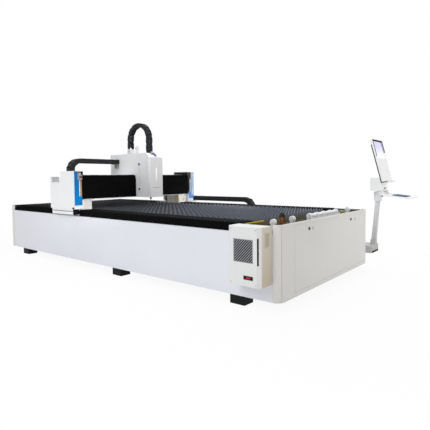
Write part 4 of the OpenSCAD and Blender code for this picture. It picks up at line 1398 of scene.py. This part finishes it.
@dataclass
class GantryEnds:
    """Boards, plates, black sheets of painted shade and seals at the gantry's ends, and the knob of the near
    cover.

    The boards, plates and seals are given for the far end and mirrored for the near one.
    """

    board: Block = ((-0.560, 1.107, 1.004), (-0.5535, 1.19, 1.237), 0.001)
    strip: Block = ((-0.5532, 1.1355, 1.010), (-0.5490, 1.1695, 1.240), 0.001)
    skirt: Block = ((-0.6095, 1.125, 0.746), (-0.6045, 1.2205, 0.826), 0.0012)
    closing: Block = ((-0.6145, 1.02, 0.8268), (-0.6098, 1.2205, 1.0), 0.001)
    seal: Block = ((-1.19, 1.2095, 0.789), (-0.62, 1.2125, 0.797), 0.001)
    # painted shade: black sheets inside the end covers, above the bellows
    shade_sheets: tuple[Block, ...] = (((-0.895, 0.0, 1.3045), (-0.618, 0.0025, 1.366), 0.0008, 1),
                                 ((-0.6185, 0.0, 1.3145), (-0.556, 0.0025, 1.366), 0.0008, 1))
    shade_sheets_at: Span = (-1.0845, 1.0820)
    knob: tuple[Bar, ...] = (((-0.566, -1.2278, 0.843), (-0.566, -1.236, 0.843), 0.007),
                             ((-0.566, -1.235, 0.843), (-0.566, -1.252, 0.843), 0.013, 0.004))

    def build(self) -> None:
        """Makes the parts, with the black and the pale plates changed over between the two ends."""
        boards, strips, plates, seals = (Shape() for _ in range(4))
        for s in (-1.0, 1.0):
            for shape, (low, high, by) in (
                    (boards if s < 0 else plates, self.board), (strips, self.strip),
                    (plates if s < 0 else strips, self.skirt), (strips, self.closing), (seals, self.seal)):
                y0, y1 = sorted((s * low[1], s * high[1]))
                shape.box((low[0], y0, low[2]), (high[0], y1, high[2]), by)
        fit("bellows_end_boards", boards, PAINTS.tan, "gantry")
        fit("cover_return_strips", strips, PAINTS.cover, "gantry")
        fit("skirt_end_plates", plates, PAINTS.rubber, "gantry")
        fit("skirt_seals", seals, PAINTS.rubber, "gantry")
        # painted shade inside the end covers
        shade_sheets = Shape().boxes(self.shade_sheets, map(Axis.Y.at, self.shade_sheets_at))
        fit("cover_inner_painted_shade", shade_sheets, PAINTS.black, "gantry")
        fit("cover_knob", Shape().rods(self.knob), PAINTS.dark_metal, "gantry")


@dataclass
class CarriageTrim:
    """Seams, painted highlight strip, lock plates, chain bracket, top valve and fibre gland of the carriage.
    """

    seams: tuple[Block, ...] = (((-0.2203, -0.066, 1.1085), (-0.2192, 0.106, 1.1115), 0.0004, 1),
                                ((-0.4545, -0.1258, 1.145), (-0.4525, -0.1246, 1.422), 0.0004, 1))
    lock: Block = ((-0.483, -0.1262, -0.022), (-0.457, -0.1248, 0.022), 0.0006, 1)
    locks_at: Span = (1.087, 1.484)
    bracket: tuple[Block, ...] = (((-1.085, -0.205, 1.4925), (-0.985, -0.1252, 1.4982), 0.0015),
                                  ((-1.080, -0.150, 1.430), (-0.990, -0.1252, 1.493), 0.004))
    nut: Bar = ((0.0, -0.1495, 1.462), (0.0, -0.156, 1.462), 0.009, 0.002, 6)
    nuts_at: Span = (-1.060, -1.010)
    # painted highlight: the bright streak on the carriage's front
    strip: Block = ((-0.2203, 0.004, 1.226), (-0.2178, 0.028, 1.418), 0.001)
    valve: Block = ((-0.711, 0.0, 1.6604), (-0.667, 0.040, 1.786), 0.004)
    valve_cap: Bar = ((-0.689, 0.02, 1.785), (-0.689, 0.02, 1.80), 0.012, 0.003)
    button: Bar = ((-0.689, 0.0005, 1.749), (-0.689, -0.005, 1.749), 0.010, 0.0025)
    gland: tuple[Bar, ...] = (((-0.283, 0.02, 1.6575), (-0.232, 0.02, 1.6167), 0.014, 0.003),
                              ((-0.234, 0.02, 1.6183), (-0.224, 0.02, 1.6103), 0.009, 0.002))

    def build(self) -> None:
        """Makes the parts."""
        fit("carriage_seams", Shape().boxes(self.seams), PAINTS.dark_metal, "carriage")
        locks = Shape().boxes([self.lock], map(Axis.Z.at, self.locks_at))
        fit("cover_lock_plates", locks, PAINTS.grille, "carriage")
        bracket = Shape().boxes(self.bracket).rods([self.nut], map(Axis.X.at, self.nuts_at))
        fit("chain_end_bracket", bracket, PAINTS.khaki, "carriage")
        # painted highlight, made to glow
        fit("carriage_painted_highlight", Shape().box(*self.strip), PAINTS.painted_highlight, "carriage")
        valve = Shape().box(*self.valve).rod(*self.valve_cap)
        fit("top_valve_block", valve, PAINTS.nylon, "carriage")
        fit("top_valve_button", Shape().rod(*self.button), PAINTS.red, "carriage")
        fit("fibre_gland", Shape().rods(self.gland), PAINTS.purple, "carriage")


@dataclass
class FrontTrim:
    """Roller bank, edge strip, boards and block of the deck, and key plates of the front panel."""

    bank_start: float = -0.165
    bank_pitch: float = 0.18
    bank_count: int = 4
    sleeve: Bar = ((2.515, 0.0155, 0.815), (2.515, 0.1645, 0.815), 0.024, 0.003)
    rail: Block = ((2.5515, -0.21, 0.7425), (2.5565, 0.60, 0.801), 0.0015)
    rail_screw: Bar = ((2.5562, 0.0, 0.785), (2.5595, 0.0, 0.785), 0.007, 0.0015, 6)
    strip: Block = ((2.2562, -1.05, 0.785), (2.2627, -0.71, 0.80), 0.0015)
    board: Block = ((2.2562, -0.897, 0.7425), (2.2612, -0.71, 0.7848), 0.001)
    corner: tuple[Block, ...] = (((2.2562, 1.062, 0.7425), (2.698, 1.070, 0.808), 0.0015),
                                 ((2.2562, 1.0695, 0.800), (2.62, 1.138, 0.808), 0.0015))
    seam: Bar = ((2.7030, -1.1066, 0.095), (2.7030, -1.1066, 0.80), 0.0018, 0.0005, 10)
    block: tuple[Block, ...] = (((2.472, 0.73, 0.7425), (2.532, 0.84, 0.80), 0.004),
                                ((2.482, 0.742, 0.7995), (2.522, 0.828, 0.812), 0.003))
    key_plate: Block = ((2.7102, -0.010, -0.016), (2.7125, 0.010, 0.016), 0.001)
    key_barrel: Bar = ((2.712, 0.0, 0.0), (2.7145, 0.0, 0.0), 0.006, 0.001)
    keys_at: tuple[Point, ...] = ((0.0, -0.482, 0.727), (0.0, 0.693, 0.719))

    def build(self) -> None:
        """Makes the parts."""
        places = [Axis.Y.at(self.bank_start + i * self.bank_pitch) for i in range(self.bank_count + 1)]
        sleeves = Shape().rods([self.sleeve], places[:-1])
        fit("roller_sleeves", sleeves, PAINTS.nylon, "roller_mid")
        rail = Shape().box(*self.rail).rods([self.rail_screw], places)
        fit("roller_rail", rail, PAINTS.cover, "bed")
        fit("deck_edge_strip", Shape().box(*self.strip), PAINTS.yellow, "bed")
        fit("deck_edge_board", Shape().box(*self.board), PAINTS.board, "bed")
        fit("far_corner_plate", Shape().boxes(self.corner), PAINTS.corner, "bed")
        fit("corner_seam", Shape().rod(*self.seam), PAINTS.unit_shade_and_seam, "bed")
        fit("deck_block", Shape().boxes(self.block), PAINTS.olive, "bed")
        plates = Shape().boxes([self.key_plate], self.keys_at).rods([self.key_barrel], self.keys_at)
        fit("key_plates", plates, PAINTS.alloy, "bed")


@dataclass
class CoolerTrim:
    """Display, hand hold, a black filter that also stands as painted shade inside the case, and screws of
    the cooling unit.
    """

    window: Block = ((2.447, -1.3535, 0.325), (2.549, -1.3502, 0.360), 0.0012)
    uprights: tuple[Block, ...] = (((0.0, -1.3540, 0.335), (0.0018, -1.3534, 0.350), 0.0002, 1),
                                   ((0.006, -1.3540, 0.335), (0.0078, -1.3534, 0.350), 0.0002, 1))
    bar: Block = ((0.0018, -1.3540, 0.0), (0.006, -1.3534, 0.0018), 0.0002, 1)
    bars_at: tuple[float, ...] = (0.335, 0.3417, 0.3482)
    digit_start: float = 2.478
    digit_pitch: float = 0.013
    digit_count: int = 4
    rim: Block = ((2.6301, -1.275, 0.615), (2.6325, -1.201, 0.755), 0.0011)
    well: Block = ((2.6320, -1.268, 0.622), (2.6332, -1.208, 0.748), 0.0005, 1)
    # black filter behind the grille, also painted shade for the inside of the case
    filter: Block = ((2.338, -1.3415, 0.484), (2.544, -1.3395, 0.688), 0.0006, 1)
    screw: Bar = ((0.0, -1.3502, 0.0), (0.0, -1.3528, 0.0), 0.005, 0.001, 16)
    screws_x: Span = (2.303, 2.580)
    screws_z: Span = (0.285, 0.783)

    def build(self) -> None:
        """Makes the parts."""
        fit("cooler_window", Shape().box(*self.window), PAINTS.rubber, "bed")
        digits = Shape()
        for x in (self.digit_start + i * self.digit_pitch for i in range(self.digit_count)):
            digits.boxes(self.uprights, [Axis.X.at(x)])
            digits.boxes([self.bar], [(x, 0.0, z) for z in self.bars_at])
        fit("cooler_digits", digits, PAINTS.digits, "bed")
        # the hand hold's rim and well carry painted shade, the well darker for its hollow
        fit("hand_hold_rim", Shape().box(*self.rim), PAINTS.unit_side_shade, "bed")
        fit("hand_hold_well", Shape().box(*self.well), PAINTS.unit_shade_and_seam, "bed")
        # black filter that also stands as painted shade inside the case
        fit("grille_filter", Shape().box(*self.filter), PAINTS.rubber, "bed")
        screws = Shape().rods([self.screw], [(x, 0.0, z) for x in self.screws_x for z in self.screws_z])
        fit("cooler_screws", screws, PAINTS.alloy, "bed")


def leaning(foot: Point, angle: float) -> Matrix:
    """Returns the frame of a part that leans about Y by an angle in degrees."""
    return Matrix.Translation(foot) @ Matrix.Rotation(math.radians(angle), 4, "Y")


@dataclass
class ConsoleTrim:
    """Screen, mat, knob and rubber strip of the console, the first two in leaning frames of their own."""

    screen_foot: Point = (2.528, 2.55, 1.146)
    screen_lean: float = -15.0
    bezel: tuple[Block, ...] = (((0.0455, -0.239, 0.688), (0.051, 0.239, 0.718), 0.0012),
                                ((0.0455, -0.239, 0.435), (0.051, -0.229, 0.689), 0.0012),
                                ((0.0455, 0.205, 0.51), (0.051, 0.239, 0.689), 0.0012))
    glass: Block = ((0.0455, -0.2285, 0.40), (0.0485, 0.2045, 0.6875), 0.0008)
    shelf_foot: Point = (2.517, 2.325, 0.948)
    shelf_lean: float = 6.5
    mat: Block = ((0.178, 0.002, 0.0222), (0.374, 0.30, 0.034), 0.003)
    knob: tuple[Bar, ...] = (((2.4645, 2.55, 0.93), (2.476, 2.55, 0.93), 0.007),
                             ((2.475, 2.55, 0.93), (2.492, 2.55, 0.93), 0.015, 0.004))
    strip: Block = ((2.3912, 2.331, 0.002), (2.3940, 2.633, 0.030), 0.001)

    def build(self) -> None:
        """Makes the parts."""
        screen = leaning(self.screen_foot, self.screen_lean)
        shelf = leaning(self.shelf_foot, self.shelf_lean)
        bezel = Shape().boxes(self.bezel).move(screen)
        fit("screen_bezel", bezel, PAINTS.rubber, "console_head")
        glass = Shape().box(*self.glass).move(screen)
        fit("screen_glass", glass, PAINTS.screen, "console_head")
        mat = Shape().box(*self.mat).move(shelf)
        fit("shelf_mat", mat, PAINTS.mat, "console_head")
        fit("collar_knob", Shape().rods(self.knob), PAINTS.rubber, "bed")
        fit("base_strip", Shape().box(*self.strip), PAINTS.rubber, "bed")


def coats() -> None:
    """Paints every CAD node."""
    paint(PAINTS.panel, "near_panel", "far_panel", "x_chain_tray")
    paint(PAINTS.rear, "rear_cowl")
    # the front cowl and door take the painted shade of the front end
    paint(PAINTS.front, "front_cowl", "front_door")
    paint(PAINTS.cover, "end_cover_near", "end_cover_far", "carriage_cover", "beam", "saddle_near")
    paint(PAINTS.far_saddle, "saddle_far")
    paint(PAINTS.unit, "cooler_case")
    paint(PAINTS.frame, "bed_frame", "drawer_1", "drawer_2", "drawer_3")
    paint(PAINTS.bars, "slat_bars")
    paint(PAINTS.deck, "front_deck")
    paint(PAINTS.black, "feet")
    paint(PAINTS.blue, "trim_near")
    paint(PAINTS.painted_glare_blue, "trim_far")
    paint(PAINTS.valve, "gas_valve")
    paint(PAINTS.monitor, "console_monitor")
    paint(PAINTS.grille, "cooler_grille")
    paint(PAINTS.slat, "slats")
    paint(PAINTS.bright, "x_rails", "x_racks", "x_pinion_near", "x_pinion_far", "y_rails", "y_rack",
          "y_pinion", "carriage_plate")
    paint(PAINTS.dark_metal, "door_lock_a", "door_lock_b", "cover_lock_a", "cover_lock_b", "x_servos",
          "y_servo", "z_actuator")
    paint(PAINTS.alloy, "laser_head")
    paint(PAINTS.brass, "nozzle")
    paint(PAINTS.cloth, "x_bellows_rear", "x_bellows_front", "y_bellows_near", "y_bellows_far")
    paint(PAINTS.chain, "x_chain", "y_chain", "z_chain", "cooler_fan")
    paint(PAINTS.nylon, "roller_1", "roller_2", "roller_mid", "roller_4")
    paint(PAINTS.post, "console_base", "console_column")
    paint(PAINTS.console, "console_head", "console_shelf")
    paint(PAINTS.green, "start_button")


def main() -> None:
    """Dresses the machine and sets the stage."""
    logging.basicConfig(level=logging.WARNING)
    Stage().build()
    coats()
    soften("near_panel", "far_panel", "front_cowl", "rear_cowl", "end_cover_near", "end_cover_far",
           "carriage_cover", "cooler_case", "console_head", "console_base", "console_shelf",
           "console_monitor", "trim_near", "trim_far", "beam", "feet")
    for part in (RailCovers, BeamCovers, CableChains, GantryEnds, CarriageTrim, FrontTrim, CoolerTrim,
                 ConsoleTrim):
        part().build()


if __name__ == "__main__":
    main()
